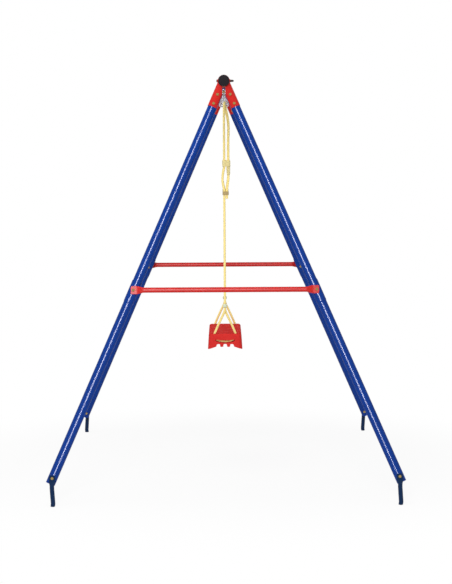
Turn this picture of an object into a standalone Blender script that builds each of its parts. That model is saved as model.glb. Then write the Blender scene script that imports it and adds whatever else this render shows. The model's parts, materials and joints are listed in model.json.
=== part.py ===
"""Toddler swing set: two splayed A-frames of steel tube, a top beam, and one seat on four-point rope.

Units are metres. +Z is up, +Y runs along the beam from the front end to the back end, and +X is to the
right. The origin is on the ground plane under the middle of the beam, level with the stake tips.
Each end frame is built once in its own tilted plane, under an empty, and the front one is the back one
turned half way round the vertical.
"""

import math

import bmesh
import bpy
from mathutils import Matrix, Vector

# Clearances
FIT = 0.0003  # between pieces that touch on the real object
BOLT_FIT = 0.0005  # round a bolt in its holes

# Top beam
BEAM_HEIGHT = 1.768  # beam axis above the stake tips
BEAM_DIAMETER = 0.045
BEAM_WALL = 0.0018
BEAM_OVERHANG = 0.034  # past the middle of each bracket
APEX_SPACING = 1.084  # between the middles of the two brackets
CAP_DIAMETER = 0.049
CAP_FLANGE = 0.0045
CAP_DOME = 0.0025
CAP_PLUG = 0.014
CAP_WALL = 0.002

# End frames: the legs' axes meet on the beam axis
LEG_DIAMETER = 0.040
LEG_WALL = 0.0013
LEG_END_HEIGHT = 0.0895  # end of a leg's axis above the stake tips
FOOT_SPACING = 1.468  # between the ends of the two legs' axes
FRAME_SPLAY = 0.308  # how far the legs' ends stand out along the beam
LEG_TOP_CLEARANCE = 0.0025  # between a leg's top and the middle of the frame
SOCKET_WALL = 0.0013  # swaged top of a lower leg, over the upper leg
SOCKET_ABOVE = 0.042  # from the crossbar bolt up to the seam
SOCKET_BELOW = 0.050  # from the crossbar bolt down to the end of the socket
SOCKET_TAPER = 0.010
SPIGOT_BELOW = 0.040  # the upper leg reaches this far below the crossbar bolt

# Apex brackets
HUB_WALL = 0.0025
HUB_LENGTH = 0.050
BOSS_DIAMETER = 0.015  # flat seats for the beam's lock bolt
BOSS_REACH = 0.0272  # from the beam axis
SLEEVE_WALL = 0.0014
SLEEVE_LENGTH = 0.125  # from the beam axis
SLEEVE_BOLT_TOP = 0.0115  # from the leg's top end to the upper bolt
SLEEVE_BOLT_END = 0.014  # from the sleeve's end to the lower bolt
SLEEVE_OPENING = 0.0188  # the pressed sleeves are open on their inner side, this far from the leg's axis
GAP_WIDTH = 0.014  # between the two sleeves under the hub

# Crossbars
CROSSBAR_DIAMETER = 0.022
CROSSBAR_DISTANCE = 0.978  # from the beam axis, along the leg
FLAT_THICKNESS = 0.0028
FLAT_WIDTH = 0.0345
FLAT_END = 0.0105  # from the bolt to the end
FLAT_RUN = 0.0125  # from the bolt to the crease
FLAT_TAPER = 0.034  # from the crease to the full round

# Ground stakes
STAKE_DIAMETER = 0.019
STAKE_FLAT_WIDTH = 0.027
STAKE_FLAT_THICKNESS = 0.003
STAKE_BOLT_RISE = 0.0245  # from the leg's end to the foot bolt, along the leg
STAKE_FLAT_END = 0.0125
STAKE_FLAT_RUN = 0.012
STAKE_TAPER = 0.022
STAKE_LEAN = 0.004  # sideways, from the bend to the tip
STAKE_TIP_BEND = 0.0015
STAKE_TIP_LENGTH = 0.012

# Fasteners
BOLT_DIAMETER = 0.006
BOLT_HEAD_FLATS = 0.010
BOLT_HEAD_HEIGHT = 0.004
BOLT_NUT_HEIGHT = 0.005
BOLT_END = 0.003
LOCK_BOLT_END = 0.010

# Seat
SEAT_LENGTH = 0.440
SEAT_WIDTH = 0.157
SEAT_HEIGHT = 0.070
SEAT_TOP_HEIGHT = 0.642
SEAT_DRAFT = 0.0045  # each wall leans in by this much from skirt to deck
SEAT_CORNER = 0.018
SEAT_EDGE = 0.008
SEAT_WALL = 0.0035
SEAT_DECK = 0.0040
SEAT_RIB = 0.0026
SEAT_RIB_DEPTH = 0.040
SEAT_CROSS_RIBS = 3
TOOTH_WIDTH = 0.0155
TOOTH_SPACING = 0.031
TOOTH_DEPTH = 0.0125
SKIRT_ARCH = 0.023  # from the skirt tips up to the end wall's middle edge
SKIRT_HAUNCH = 0.012
NOTCH_EDGE = 0.0385
SLOT_WIDTH = 0.090
SLOT_HEIGHT = 0.019
SLOT_DROP = 0.0220  # from the top of the seat to the top of the slot
ROPE_INSET = 0.0190  # from the end of the seat to the rope
ROPE_HOLE_SPACING = 0.096
ROPE_HOLE_DIAMETER = 0.0165
SADDLE_OFFSET = 0.0358  # ribs that bear on the rope under the deck
SADDLE_DROP = 0.0200  # from the top of the seat to the ribs' lower edge

# Ropes and what is on them
ROPE_DIAMETER = 0.010
ROPE_FIT = 0.0006  # round a rope in a hole
BEAD_RADIUS = 0.0100
BEAD_HEIGHT = 0.768  # middle of the bead where the rope divides
BEAD_CUT = 55  # the bead is cut flat this many degrees below its middle
STRAND_OFFSET = 0.0053
TAIL_OFFSET = 0.019  # between the rope and its tail at the adjuster
ADJUSTER_DROP = 0.265  # from the ring's flat side down to the adjuster
ADJUSTER_WALL = 0.0032
ADJUSTER_LENGTH = 0.026
CLIP_DROP = 0.133  # from the adjuster down to the clip
CLIP_LENGTH = 0.016
CLIP_WALL = 0.0026
CLIP_OFFSET = 0.0118
TAIL_BELOW = 0.025  # from the clip down to the tail's end

# Hangers
HANGER_STUD = 0.008
HANGER_WIDTH = 0.020
HANGER_PLATE = 0.003
HANGER_GAP = 0.0116  # between the two ears
HANGER_DROP = 0.0127  # from the beam's underside to the pivot pin
PIN_DIAMETER = 0.008
PIN_HEAD = 0.002
PIN_HEAD_DIAMETER = 0.012
BUSH_WALL = 0.0013
BARREL_WALL = 0.0025
LINK_LENGTH = 0.024  # from the pivot pin to the middle of the lower eye
LINK_EYE_RADIUS = 0.0085
LINK_EYE_BORE = 0.0055
LINK_EYE_THICKNESS = 0.005
LINK_NECK = 0.008
RING_WIRE = 0.006
RING_WIDTH = 0.045
RING_HEIGHT = 0.037
RING_CORNER = 0.007
HANGER_NUT_FLATS = 0.013
HANGER_NUT_HEIGHT = 0.0065

TUBE_SIDES = 20
HOLE_SIDES = 8
HUB_SIDES = 24
SMALL_SIDES = 16

# Worked out from the sizes above
BEAM_RADIUS = BEAM_DIAMETER / 2
LEG_RADIUS = LEG_DIAMETER / 2
APEX_Y = APEX_SPACING / 2
FRAME_RISE = BEAM_HEIGHT - LEG_END_HEIGHT
TILT = math.atan2(FRAME_SPLAY, FRAME_RISE)  # of an end frame's plane
PLANE_RISE = math.hypot(FRAME_RISE, FRAME_SPLAY)
HALF_ANGLE = math.atan2(FOOT_SPACING / 2, PLANE_RISE)  # of a leg in that plane
LEG_END = math.hypot(PLANE_RISE, FOOT_SPACING / 2)
LEG_TOP = (LEG_RADIUS + LEG_TOP_CLEARANCE) / math.sin(HALF_ANGLE)
SLEEVE_RADIUS = LEG_RADIUS + FIT + SLEEVE_WALL
HUB_RADIUS = BEAM_RADIUS + FIT + HUB_WALL
SOCKET_RADIUS = LEG_RADIUS + FIT + SOCKET_WALL
BOLT_RADIUS = BOLT_DIAMETER / 2
HOLE_RADIUS = BOLT_RADIUS + BOLT_FIT
FOOT_BOLT = LEG_END - STAKE_BOLT_RISE
BRACKET_BOLTS = (LEG_TOP + SLEEVE_BOLT_TOP, SLEEVE_LENGTH - SLEEVE_BOLT_END)
ROPE_RADIUS = ROPE_DIAMETER / 2
ROPE_Y = SEAT_LENGTH / 2 - ROPE_INSET
SEAT_BOTTOM = SEAT_TOP_HEIGHT - SEAT_HEIGHT
SADDLE_BOTTOM = SEAT_TOP_HEIGHT - SADDLE_DROP
PIVOT_HEIGHT = BEAM_HEIGHT - BEAM_RADIUS - HANGER_DROP
PIN_RADIUS = PIN_DIAMETER / 2
BUSH_RADIUS = PIN_RADIUS + FIT + BUSH_WALL
BARREL_RADIUS = BUSH_RADIUS + FIT + BARREL_WALL
WIRE_RADIUS = RING_WIRE / 2
EYE_HEIGHT = PIVOT_HEIGHT - LINK_LENGTH
RING_SAG = RING_CORNER - math.sqrt(RING_CORNER**2 - (LINK_EYE_THICKNESS / 2 + 4 * FIT) ** 2)
BORE_APOTHEM = LINK_EYE_BORE * math.cos(math.pi / SMALL_SIDES)
RING_TOP = EYE_HEIGHT - (BORE_APOTHEM - WIRE_RADIUS - FIT) + RING_SAG
RING_BASE = RING_TOP - (RING_HEIGHT - RING_WIRE)
TURN_RADIUS = ROPE_RADIUS + WIRE_RADIUS + 2 * FIT
ADJUSTER_HEIGHT = RING_BASE - ADJUSTER_DROP
CLIP_HEIGHT = ADJUSTER_HEIGHT - CLIP_DROP
ROPE_FOOT = BEAD_HEIGHT + BEAD_RADIUS + FIT

ENDS = {"front": -1, "back": 1}
SIDES = {"left": -1, "right": 1}


def clear_scene():
    for item in list(bpy.data.objects):
        bpy.data.objects.remove(item, do_unlink=True)


def new_collection(name):
    collection = bpy.data.collections.new(name)
    bpy.context.scene.collection.children.link(collection)
    return collection


def paint(name, colour, roughness, metallic):
    """A Principled material, its colour given as sRGB values from 0 to 255."""
    material = bpy.data.materials.new(name)
    material.use_nodes = True
    shader = material.node_tree.nodes["Principled BSDF"]
    linear = [((c / 255 + 0.055) / 1.055) ** 2.4 if c > 10 else c / 3295 for c in colour]
    shader.inputs["Base Color"].default_value = (*linear, 1)
    shader.inputs["Roughness"].default_value = roughness
    shader.inputs["Metallic"].default_value = metallic
    material.diffuse_color = (*linear, 1)
    return material


def add_object(name, data, collection, material=None, parent=None, location=(0, 0, 0), rotation=(0, 0, 0)):
    item = bpy.data.objects.new(name, data)
    collection.objects.link(item)
    item.parent = parent
    item.location = location
    item.rotation_euler = rotation
    if material:
        item.data.materials.append(material)
    return item


def finish_mesh(item, degrees=35):
    item.data.shade_smooth()
    item.data.set_sharp_from_angle(angle=math.radians(degrees))
    return item


def turned_mesh(name, profile, closed=False):
    """The half outline of a turned piece at +X, as (radius, height) points, down the outer side."""
    mesh = bpy.data.meshes.new(name)
    points = [(radius, 0, height) for radius, height in profile]
    edges = [(i, i + 1) for i in range(len(points) - 1)]
    if closed:
        edges.append((len(points) - 1, 0))
    mesh.from_pydata(points, edges, [])
    return mesh


def turn(item, sides):
    screw = item.modifiers.new("Turn", "SCREW")
    screw.axis = "Z"
    screw.steps = screw.render_steps = sides
    screw.use_merge_vertices = True
    screw.merge_threshold = 0.00001
    screw.use_smooth_shade = True
    return item


def ring_of(centre, along, up, half_width, half_thickness, sides):
    """Points round a flat-sided section: two half circles of half_thickness, drawn apart along `along`."""
    spread = max(half_width - half_thickness, 0)
    points = []
    for i in range(sides):
        angle = 2 * math.pi * (i + 0.5) / sides
        side = 1 if math.cos(angle) > 0 else -1
        across = half_thickness * math.cos(angle) + side * spread
        points.append(centre + along * across + up * (half_thickness * math.sin(angle)))
    return points


def loft_mesh(name, rings):
    """A closed skin through rings with the same number of points, capped at both ends."""
    build = bmesh.new()
    loops = [[build.verts.new(point) for point in ring] for ring in rings]
    count = len(loops[0])
    for lower, upper in zip(loops, loops[1:]):
        for i in range(count):
            j = (i + 1) % count
            build.faces.new((lower[i], lower[j], upper[j], upper[i]))
    build.faces.new(list(reversed(loops[0])))
    build.faces.new(loops[-1])
    bmesh.ops.recalc_face_normals(build, faces=build.faces)
    mesh = bpy.data.meshes.new(name)
    build.to_mesh(mesh)
    build.free()
    return mesh


def prism_mesh(name, outline, depth):
    """An (x, z) outline pushed `depth` along Y, centred on the XZ plane."""
    near = [Vector((x, -depth / 2, z)) for x, z in outline]
    far = [Vector((x, depth / 2, z)) for x, z in outline]
    return loft_mesh(name, [near, far])


def cylinder_mesh(name, radius, length, sides):
    build = bmesh.new()
    bmesh.ops.create_cone(
        build, cap_ends=True, segments=sides, radius1=radius, radius2=radius, depth=length
    )
    mesh = bpy.data.meshes.new(name)
    build.to_mesh(mesh)
    build.free()
    return mesh


def box_mesh(name, size):
    build = bmesh.new()
    bmesh.ops.create_cube(build, size=1)
    bmesh.ops.scale(build, vec=Vector(size), verts=build.verts)
    mesh = bpy.data.meshes.new(name)
    build.to_mesh(mesh)
    build.free()
    return mesh


def hide_as_cutter(item):
    item.hide_render = True
    item.display_type = "WIRE"
    return item


def combine(item, other, operation):
    change = item.modifiers.new(other.name, "BOOLEAN")
    change.operation = operation
    change.object = other
    change.solver = "EXACT"
    return item


class Workshop:
    """The collections and finishes that every builder below adds its pieces to."""

    def __init__(self):
        self.parts = new_collection("toddler_swing_set")
        self.cutters = new_collection("cutters")
        self.blue = paint("blue powder coat", (10, 58, 160), 0.32, 0.0)
        self.red = paint("red powder coat", (222, 58, 50), 0.35, 0.0)
        self.zinc = paint("zinc plate", (196, 184, 150), 0.35, 1.0)
        self.steel = paint("bright zinc", (200, 202, 205), 0.3, 1.0)
        self.black = paint("black plastic", (44, 40, 44), 0.45, 0.0)
        self.rope = paint("yellow polypropylene rope", (232, 202, 96), 0.7, 0.0)
        self.yellow = paint("yellow plastic", (214, 200, 118), 0.45, 0.0)
        self.tan = paint("tan plastic", (168, 140, 98), 0.5, 0.0)
        self.seat = paint("red moulded plastic", (205, 40, 40), 0.3, 0.0)
        self.nylon = paint("white nylon", (225, 225, 215), 0.5, 0.0)

    def part(self, name, mesh, material, parent=None, location=(0, 0, 0), rotation=(0, 0, 0)):
        return add_object(name, mesh, self.parts, material, parent, location, rotation)

    def cutter(self, name, mesh, parent=None, location=(0, 0, 0), rotation=(0, 0, 0)):
        item = add_object(name, mesh, self.cutters, None, parent, location, rotation)
        return hide_as_cutter(item)


def leg_point(side, distance, outward=0.0):
    """A place in an end frame's plane, `distance` down a leg's axis and `outward` from the plane."""
    return Vector((
        side * distance * math.sin(HALF_ANGLE),
        outward,
        -distance * math.cos(HALF_ANGLE),
    ))


ALONG_Y = (-math.pi / 2, 0, 0)  # turns a piece's own +Z to +Y
ALONG_X = (0, math.pi / 2, 0)
# As ALONG_X, and turned so that no corner of the boss or the hole falls on an edge of the hub
LOCK_TURN = (Matrix.Rotation(math.pi / 2, 3, "Y") @ Matrix.Rotation(math.pi / 8, 3, "Z")).to_euler()
# As ALONG_Y, for the same reason
HOLE_TURN = (Matrix.Rotation(-math.pi / 2, 3, "X") @ Matrix.Rotation(math.pi / 14, 3, "Z")).to_euler()


def end_empty(shop, name, sign):
    """Stands on the beam axis; its +Y points out of the frame's plane and its +Z runs up the plane."""
    empty = bpy.data.objects.new(f"{name}_end", None)
    shop.parts.objects.link(empty)
    half_turn = Matrix.Rotation(0 if sign > 0 else math.pi, 4, "Z")
    place = Matrix.Translation((0, APEX_Y, BEAM_HEIGHT))
    empty.matrix_world = half_turn @ place @ Matrix.Rotation(TILT, 4, "X")
    return empty


def build_beam(shop):
    half = APEX_Y + BEAM_OVERHANG
    inner = BEAM_RADIUS - BEAM_WALL
    profile = [(BEAM_RADIUS, half), (BEAM_RADIUS, -half), (inner, -half), (inner, half)]
    beam = shop.part("top_beam", turned_mesh("top_beam", profile, True), shop.blue, rotation=ALONG_Y)
    turn(beam, HUB_SIDES)
    for end, sign in ENDS.items():
        drill = cylinder_mesh("stud_hole", HANGER_STUD / 2 + BOLT_FIT, 3 * BEAM_DIAMETER, HOLE_SIDES)
        place = (0, sign * ROPE_Y, BEAM_HEIGHT)
        combine(beam, shop.cutter(f"cut_stud_{end}", drill, None, place), "DIFFERENCE")
        drill = cylinder_mesh("lock_hole", HOLE_RADIUS, 3 * BEAM_DIAMETER, HOLE_SIDES)
        place = (0, sign * APEX_Y, BEAM_HEIGHT)
        combine(beam, shop.cutter(f"cut_lock_{end}", drill, None, place, LOCK_TURN), "DIFFERENCE")
    beam.location = (0, 0, BEAM_HEIGHT)


def build_beam_cap(shop, end, sign):
    """A push-in end cap: a hollow plug inside the tube, and a domed flange over its end."""
    plug = BEAM_RADIUS - BEAM_WALL - FIT
    rim = CAP_DIAMETER / 2
    top = CAP_FLANGE + CAP_DOME
    profile = [
        (0, top),
        (rim * 0.55, top - CAP_DOME * 0.25),
        (rim - 0.002, CAP_FLANGE),
        (rim, CAP_FLANGE - 0.0015),
        (rim, 0),
        (plug, 0),
        (plug, -CAP_PLUG),
        (plug - CAP_WALL, -CAP_PLUG),
        (plug - CAP_WALL, 0),
        (0, 0.0005),
    ]
    name = f"beam_cap_{end}"
    spin = (-sign * math.pi / 2, 0, 0)
    place = (0, sign * (APEX_Y + BEAM_OVERHANG + FIT), BEAM_HEIGHT)
    cap = shop.part(name, turned_mesh(name, profile), shop.black, None, place, spin)
    turn(cap, TUBE_SIDES)


def build_bracket(shop, end, empty, hub_turn, bolt_cutters, lock_cutter):
    """Hub sleeve on the beam, and a pressed sleeve round the outer three quarters of each leg."""
    name = f"apex_bracket_{end}"
    start = HUB_RADIUS + 3 * SLEEVE_WALL
    solids, bores = [], []
    for side, hand in SIDES.items():
        # The second sleeve is turned a quarter facet, so that no edges of the two coincide
        twist = 0 if hand < 0 else math.pi / (2 * TUBE_SIDES)
        spin = (Matrix.Rotation(-hand * HALF_ANGLE, 3, "Y") @ Matrix.Rotation(twist, 3, "Z")).to_euler()
        solid = cylinder_mesh(name, SLEEVE_RADIUS, SLEEVE_LENGTH, TUBE_SIDES)
        solids.append((solid, leg_point(hand, SLEEVE_LENGTH / 2), spin))
        bore = cylinder_mesh("bore", LEG_RADIUS + FIT, SLEEVE_LENGTH, TUBE_SIDES)
        place = leg_point(hand, SLEEVE_LENGTH / 2 + start)
        spin = (0, -hand * HALF_ANGLE, 0)
        bores.append(shop.cutter(f"cut_bore_{end}_{side}", bore, empty, place, spin))
    bracket = shop.part(name, solids[0][0], shop.red, empty, *solids[0][1:])
    combine(bracket, shop.cutter(f"add_sleeve_{end}", solids[1][0], empty, *solids[1][1:]), "UNION")
    hub = cylinder_mesh("hub", HUB_RADIUS, HUB_LENGTH, HUB_SIDES)
    combine(bracket, shop.cutter(f"add_hub_{end}", hub, empty, rotation=hub_turn), "UNION")
    boss = cylinder_mesh("boss", BOSS_DIAMETER / 2, 2 * BOSS_REACH, TUBE_SIDES)
    combine(bracket, shop.cutter(f"add_boss_{end}", boss, empty, rotation=LOCK_TURN), "UNION")
    half, low = GAP_WIDTH / 2, -1.2 * SLEEVE_LENGTH
    turn_level = -(half + SLEEVE_OPENING / math.cos(HALF_ANGLE)) / math.tan(HALF_ANGLE)
    foot = half + (turn_level - low) * math.tan(HALF_ANGLE)
    edge = [(half, -(HUB_RADIUS + SLEEVE_WALL)), (half, turn_level), (foot, low)]
    outline = edge + [(-x, z) for x, z in edge[::-1]]
    opening = prism_mesh("opening", outline, 4 * SLEEVE_RADIUS)
    combine(bracket, shop.cutter(f"cut_opening_{end}", opening, empty), "DIFFERENCE")
    for bore in bores:
        combine(bracket, bore, "DIFFERENCE")
    bore = cylinder_mesh("beam_bore", BEAM_RADIUS + FIT, HUB_LENGTH * 2, HUB_SIDES)
    combine(bracket, shop.cutter(f"cut_hub_{end}", bore, empty, rotation=hub_turn), "DIFFERENCE")
    for cutter in [*bolt_cutters, lock_cutter]:
        combine(bracket, cutter, "DIFFERENCE")
    finish_mesh(bracket, 30)


def build_upper_leg(shop, name, empty, spin, cutters):
    end = CROSSBAR_DISTANCE + SPIGOT_BELOW
    inner = LEG_RADIUS - LEG_WALL
    profile = [(LEG_RADIUS, -LEG_TOP), (LEG_RADIUS, -end), (inner, -end), (inner, -LEG_TOP)]
    leg = shop.part(name, turned_mesh(name, profile, True), shop.blue, empty, (0, 0, 0), spin)
    turn(leg, TUBE_SIDES)
    for cutter in cutters:
        combine(leg, cutter, "DIFFERENCE")


def build_lower_leg(shop, name, empty, spin, cutters):
    """The lower tube, its top swaged wide to take the upper tube's end."""
    seam = CROSSBAR_DISTANCE - SOCKET_ABOVE
    full = CROSSBAR_DISTANCE + SOCKET_BELOW
    narrow = full + SOCKET_TAPER
    inner = LEG_RADIUS - LEG_WALL
    profile = [
        (SOCKET_RADIUS, -seam),
        (SOCKET_RADIUS, -full),
        (LEG_RADIUS, -narrow),
        (LEG_RADIUS, -LEG_END),
        (inner, -LEG_END),
        (inner, -narrow),
        (LEG_RADIUS + FIT, -full),
        (LEG_RADIUS + FIT, -seam),
    ]
    leg = shop.part(name, turned_mesh(name, profile, True), shop.blue, empty, (0, 0, 0), spin)
    turn(leg, TUBE_SIDES)
    for cutter in cutters:
        combine(leg, cutter, "DIFFERENCE")


def flattened(step, round_half, flat_half, flat_thick):
    """Half width and half thickness of a tube as it goes from pressed flat (0) to round (1)."""
    ease = step * step * (3 - 2 * step)
    return (
        flat_half + (round_half - flat_half) * ease,
        flat_thick + (round_half - flat_thick) * ease,
    )


def rounded_end(distance, length, half):
    """Half width of a flat end with rounded corners, `distance` in from its tip."""
    share = min(max(distance / length, 0), 1)
    return half * (0.55 + 0.45 * math.sqrt(1 - (1 - share) ** 2))


def build_crossbar(shop, end, empty, cutters):
    """A round tube across the outer face of the frame, pressed flat and rounded at both ends."""
    reach = CROSSBAR_DISTANCE * math.sin(HALF_ANGLE)
    depth = -CROSSBAR_DISTANCE * math.cos(HALF_ANGLE)
    out = SOCKET_RADIUS + FIT + FLAT_THICKNESS / 2
    thick = FLAT_THICKNESS / 2
    half = []
    for share in (0.0, 0.18, 0.5, 1.0):
        at = FLAT_END * share
        half.append((reach + FLAT_END - at, rounded_end(at, FLAT_END, FLAT_WIDTH / 2), thick))
    for share in (0.0, 0.2, 0.45, 0.7, 1.0):
        at = reach - FLAT_RUN - FLAT_TAPER * share
        half.append((at, *flattened(share, CROSSBAR_DIAMETER / 2, FLAT_WIDTH / 2, thick)))
    sections = [(-x, a, b) for x, a, b in half] + half[::-1]
    rings = [
        ring_of(Vector((x, out, depth)), Vector((0, 0, 1)), Vector((0, 1, 0)), a, b, SMALL_SIDES)
        for x, a, b in sections
    ]
    name = f"crossbar_{end}"
    bar = shop.part(name, loft_mesh(name, rings), shop.red, empty)
    for cutter in cutters:
        combine(bar, cutter, "DIFFERENCE")
    finish_mesh(bar, 30)


def build_stake(shop, name, empty, side, cutter):
    """A round peg whose top is pressed flat and bolted to the leg's outer face; its foot is cut level."""
    top = leg_point(side, FOOT_BOLT)
    flat_half = STAKE_FLAT_WIDTH / 2
    thin = STAKE_FLAT_THICKNESS / 2
    thick = STAKE_DIAMETER / 2
    face = LEG_RADIUS + FIT
    across, out = Vector((1, 0, 0)), Vector((0, 1, 0))
    rings = []
    for share in (0.0, 0.2, 0.55, 1.0):
        at = STAKE_FLAT_END * share
        centre = Vector((top.x, face + thin, top.z + STAKE_FLAT_END - at))
        wide = rounded_end(at, STAKE_FLAT_END, flat_half)
        rings.append(ring_of(centre, across, out, wide, thin, SMALL_SIDES))
    for share in (0.0, 0.3, 0.65, 1.0):
        wide, deep = flattened(share, thick, flat_half, thin)
        centre = Vector((top.x, face + deep, top.z - STAKE_FLAT_RUN - STAKE_TAPER * share))
        rings.append(ring_of(centre, across, out, wide, deep, SMALL_SIDES))
    level = BEAM_HEIGHT + centre.y * math.sin(TILT) + centre.z * math.cos(TILT)
    down = Vector((0, -math.sin(TILT), -math.cos(TILT)))  # true vertical, in the frame's plane
    level_out = Vector((0, math.cos(TILT), -math.sin(TILT)))
    steps = ((level - 0.008, 0), (STAKE_TIP_LENGTH, -STAKE_LEAN), (0, STAKE_TIP_BEND - STAKE_LEAN))
    for height, aside in steps:
        foot = centre + down * (level - height) + across * aside
        rings.append(ring_of(foot, across, level_out, thick, thick, SMALL_SIDES))
    stake = shop.part(name, loft_mesh(name, rings), shop.blue, empty)
    combine(stake, cutter, "DIFFERENCE")
    finish_mesh(stake, 30)


def hexagon(radius, level):
    return [
        Vector((radius * math.cos(math.pi * i / 3), radius * math.sin(math.pi * i / 3), level))
        for i in range(6)
    ]


def bolt_mesh(name, outer, inner, tail):
    """A hexagon bolt along Z with its nut run up: head seat at `outer`, nut seat at `inner`."""
    flats = BOLT_HEAD_FLATS / math.sqrt(3)
    head, nut = outer + FIT, inner - FIT
    nut_end = nut - BOLT_NUT_HEIGHT
    rings = [
        hexagon(flats * 0.9, head + BOLT_HEAD_HEIGHT),
        hexagon(flats, head + BOLT_HEAD_HEIGHT * 0.8),
        hexagon(flats, head),
        hexagon(BOLT_RADIUS, head),
        hexagon(BOLT_RADIUS, nut),
        hexagon(flats, nut),
        hexagon(flats, nut_end),
        hexagon(BOLT_RADIUS, nut_end),
        hexagon(BOLT_RADIUS, nut_end - tail),
    ]
    return loft_mesh(name, rings)


def bolt_hole(shop, name, empty, place):
    """The shared cutter for every wall that one bolt goes through."""
    drill = cylinder_mesh("hole", HOLE_RADIUS, 6 * SOCKET_RADIUS, HOLE_SIDES)
    return shop.cutter(name, drill, empty, place, HOLE_TURN)


def add_bolt(shop, name, empty, place, outer, inner):
    mesh = bolt_mesh(name, outer, inner, BOLT_END)
    return shop.part(name, mesh, shop.zinc, empty, place, ALONG_Y)


def build_end_frame(shop, end, sign):
    empty = end_empty(shop, end, sign)
    hub_turn = (-math.pi / 2 - TILT, 0, 0)
    bracket_cutters, crossbar_cutters = [], []
    for side, hand in SIDES.items():
        hand *= sign  # the front frame is the back one turned round
        tag = f"{end}_{side}"
        spin = (0, -hand * HALF_ANGLE, 0)
        upper_holes = []
        for label, distance in zip(("upper", "lower"), BRACKET_BOLTS):
            place = leg_point(hand, distance)
            upper_holes.append(bolt_hole(shop, f"cut_{label}_{tag}", empty, place))
            name = f"bracket_bolt_{label}_{tag}"
            add_bolt(shop, name, empty, place, SLEEVE_RADIUS, -SLEEVE_RADIUS)
        place = leg_point(hand, CROSSBAR_DISTANCE)
        cross_hole = bolt_hole(shop, f"cut_crossbar_{tag}", empty, place)
        face = SOCKET_RADIUS + FIT + FLAT_THICKNESS
        add_bolt(shop, f"crossbar_bolt_{tag}", empty, place, face, -SOCKET_RADIUS)
        place = leg_point(hand, FOOT_BOLT)
        foot_hole = bolt_hole(shop, f"cut_foot_{tag}", empty, place)
        face = LEG_RADIUS + FIT + STAKE_FLAT_THICKNESS
        add_bolt(shop, f"foot_bolt_{tag}", empty, place, face, -LEG_RADIUS)
        build_upper_leg(shop, f"upper_leg_{tag}", empty, spin, [*upper_holes, cross_hole])
        build_lower_leg(shop, f"lower_leg_{tag}", empty, spin, [cross_hole, foot_hole])
        build_stake(shop, f"ground_stake_{tag}", empty, hand, foot_hole)
        bracket_cutters += upper_holes
        crossbar_cutters.append(cross_hole)
    build_crossbar(shop, end, empty, crossbar_cutters)
    lock = bpy.data.objects[f"cut_lock_{end}"]
    build_bracket(shop, end, empty, hub_turn, bracket_cutters, lock)
    name = f"beam_lock_bolt_{end}"
    mesh = bolt_mesh(name, BOSS_REACH, -BOSS_REACH, LOCK_BOLT_END)
    spin = (0, -math.pi / 2, 0)
    shop.part(name, mesh, shop.zinc, None, (0, sign * APEX_Y, BEAM_HEIGHT), spin)


def build_hanger(shop, end, sign):
    """A clevis under the beam, its stud through the beam, with a pivot pin between two ears."""
    y = sign * ROPE_Y
    underside = BEAM_HEIGHT - BEAM_RADIUS - FIT
    half = HANGER_WIDTH / 2
    ear_foot = PIVOT_HEIGHT - half + 0.001
    outer = HANGER_GAP / 2 + HANGER_PLATE
    outline = [
        (half * math.cos(math.pi * i / 6), PIVOT_HEIGHT - (half - 0.001) * math.sin(math.pi * i / 6))
        for i in range(7)
    ]
    outline = [(half, underside), *outline, (-half, underside)]
    name = f"hanger_clevis_{end}"
    clevis = shop.part(name, prism_mesh(name, outline, 2 * outer), shop.steel, None, (0, y, 0))
    depth = underside - HANGER_PLATE - ear_foot + 0.01
    slot = box_mesh("slot", (2 * HANGER_WIDTH, HANGER_GAP, depth))
    place = (0, y, underside - HANGER_PLATE - depth / 2)
    combine(clevis, shop.cutter(f"cut_clevis_{end}", slot, None, place), "DIFFERENCE")
    bore = cylinder_mesh("pin_bore", PIN_RADIUS + FIT, 6 * outer, SMALL_SIDES)
    place = (0, y, PIVOT_HEIGHT)
    combine(clevis, shop.cutter(f"cut_pin_{end}", bore, None, place, ALONG_Y), "DIFFERENCE")
    top = BEAM_HEIGHT + BEAM_RADIUS + HANGER_NUT_HEIGHT + 0.004
    low = underside - HANGER_PLATE / 2
    stud = cylinder_mesh("stud", HANGER_STUD / 2, top - low, 12)
    place = (0, y, (top + low) / 2)
    combine(clevis, shop.cutter(f"add_stud_{end}", stud, None, place), "UNION")
    build_hanger_nut(shop, end, y)
    build_hanger_pin(shop, end, y, outer)


def build_hanger_nut(shop, end, y):
    name = f"hanger_nut_{end}"
    flats = HANGER_NUT_FLATS / math.sqrt(3)
    low = BEAM_HEIGHT + BEAM_RADIUS + FIT
    nut = shop.part(
        name,
        loft_mesh(name, [hexagon(flats, low), hexagon(flats, low + HANGER_NUT_HEIGHT)]),
        shop.zinc,
        None,
        (0, y, 0),
    )
    bore = cylinder_mesh("nut_bore", HANGER_STUD / 2 + FIT, 4 * HANGER_NUT_HEIGHT, 12)
    place = (0, y, low)
    combine(nut, shop.cutter(f"cut_nut_{end}", bore, None, place), "DIFFERENCE")


def build_hanger_pin(shop, end, y, outer):
    """A headed pin through both ears, its other end spread over the far ear."""
    head = outer + FIT
    rim = PIN_HEAD_DIAMETER / 2
    profile = [
        (0, head + PIN_HEAD),
        (rim * 0.7, head + PIN_HEAD),
        (rim, head),
        (PIN_RADIUS, head),
        (PIN_RADIUS, -head),
        (rim, -head),
        (rim * 0.7, -head - PIN_HEAD),
        (0, -head - PIN_HEAD),
    ]
    name = f"hanger_pin_{end}"
    mesh = turned_mesh(name, profile)
    pin = shop.part(name, mesh, shop.zinc, None, (0, y, PIVOT_HEIGHT), ALONG_Y)
    turn(pin, SMALL_SIDES)


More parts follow.
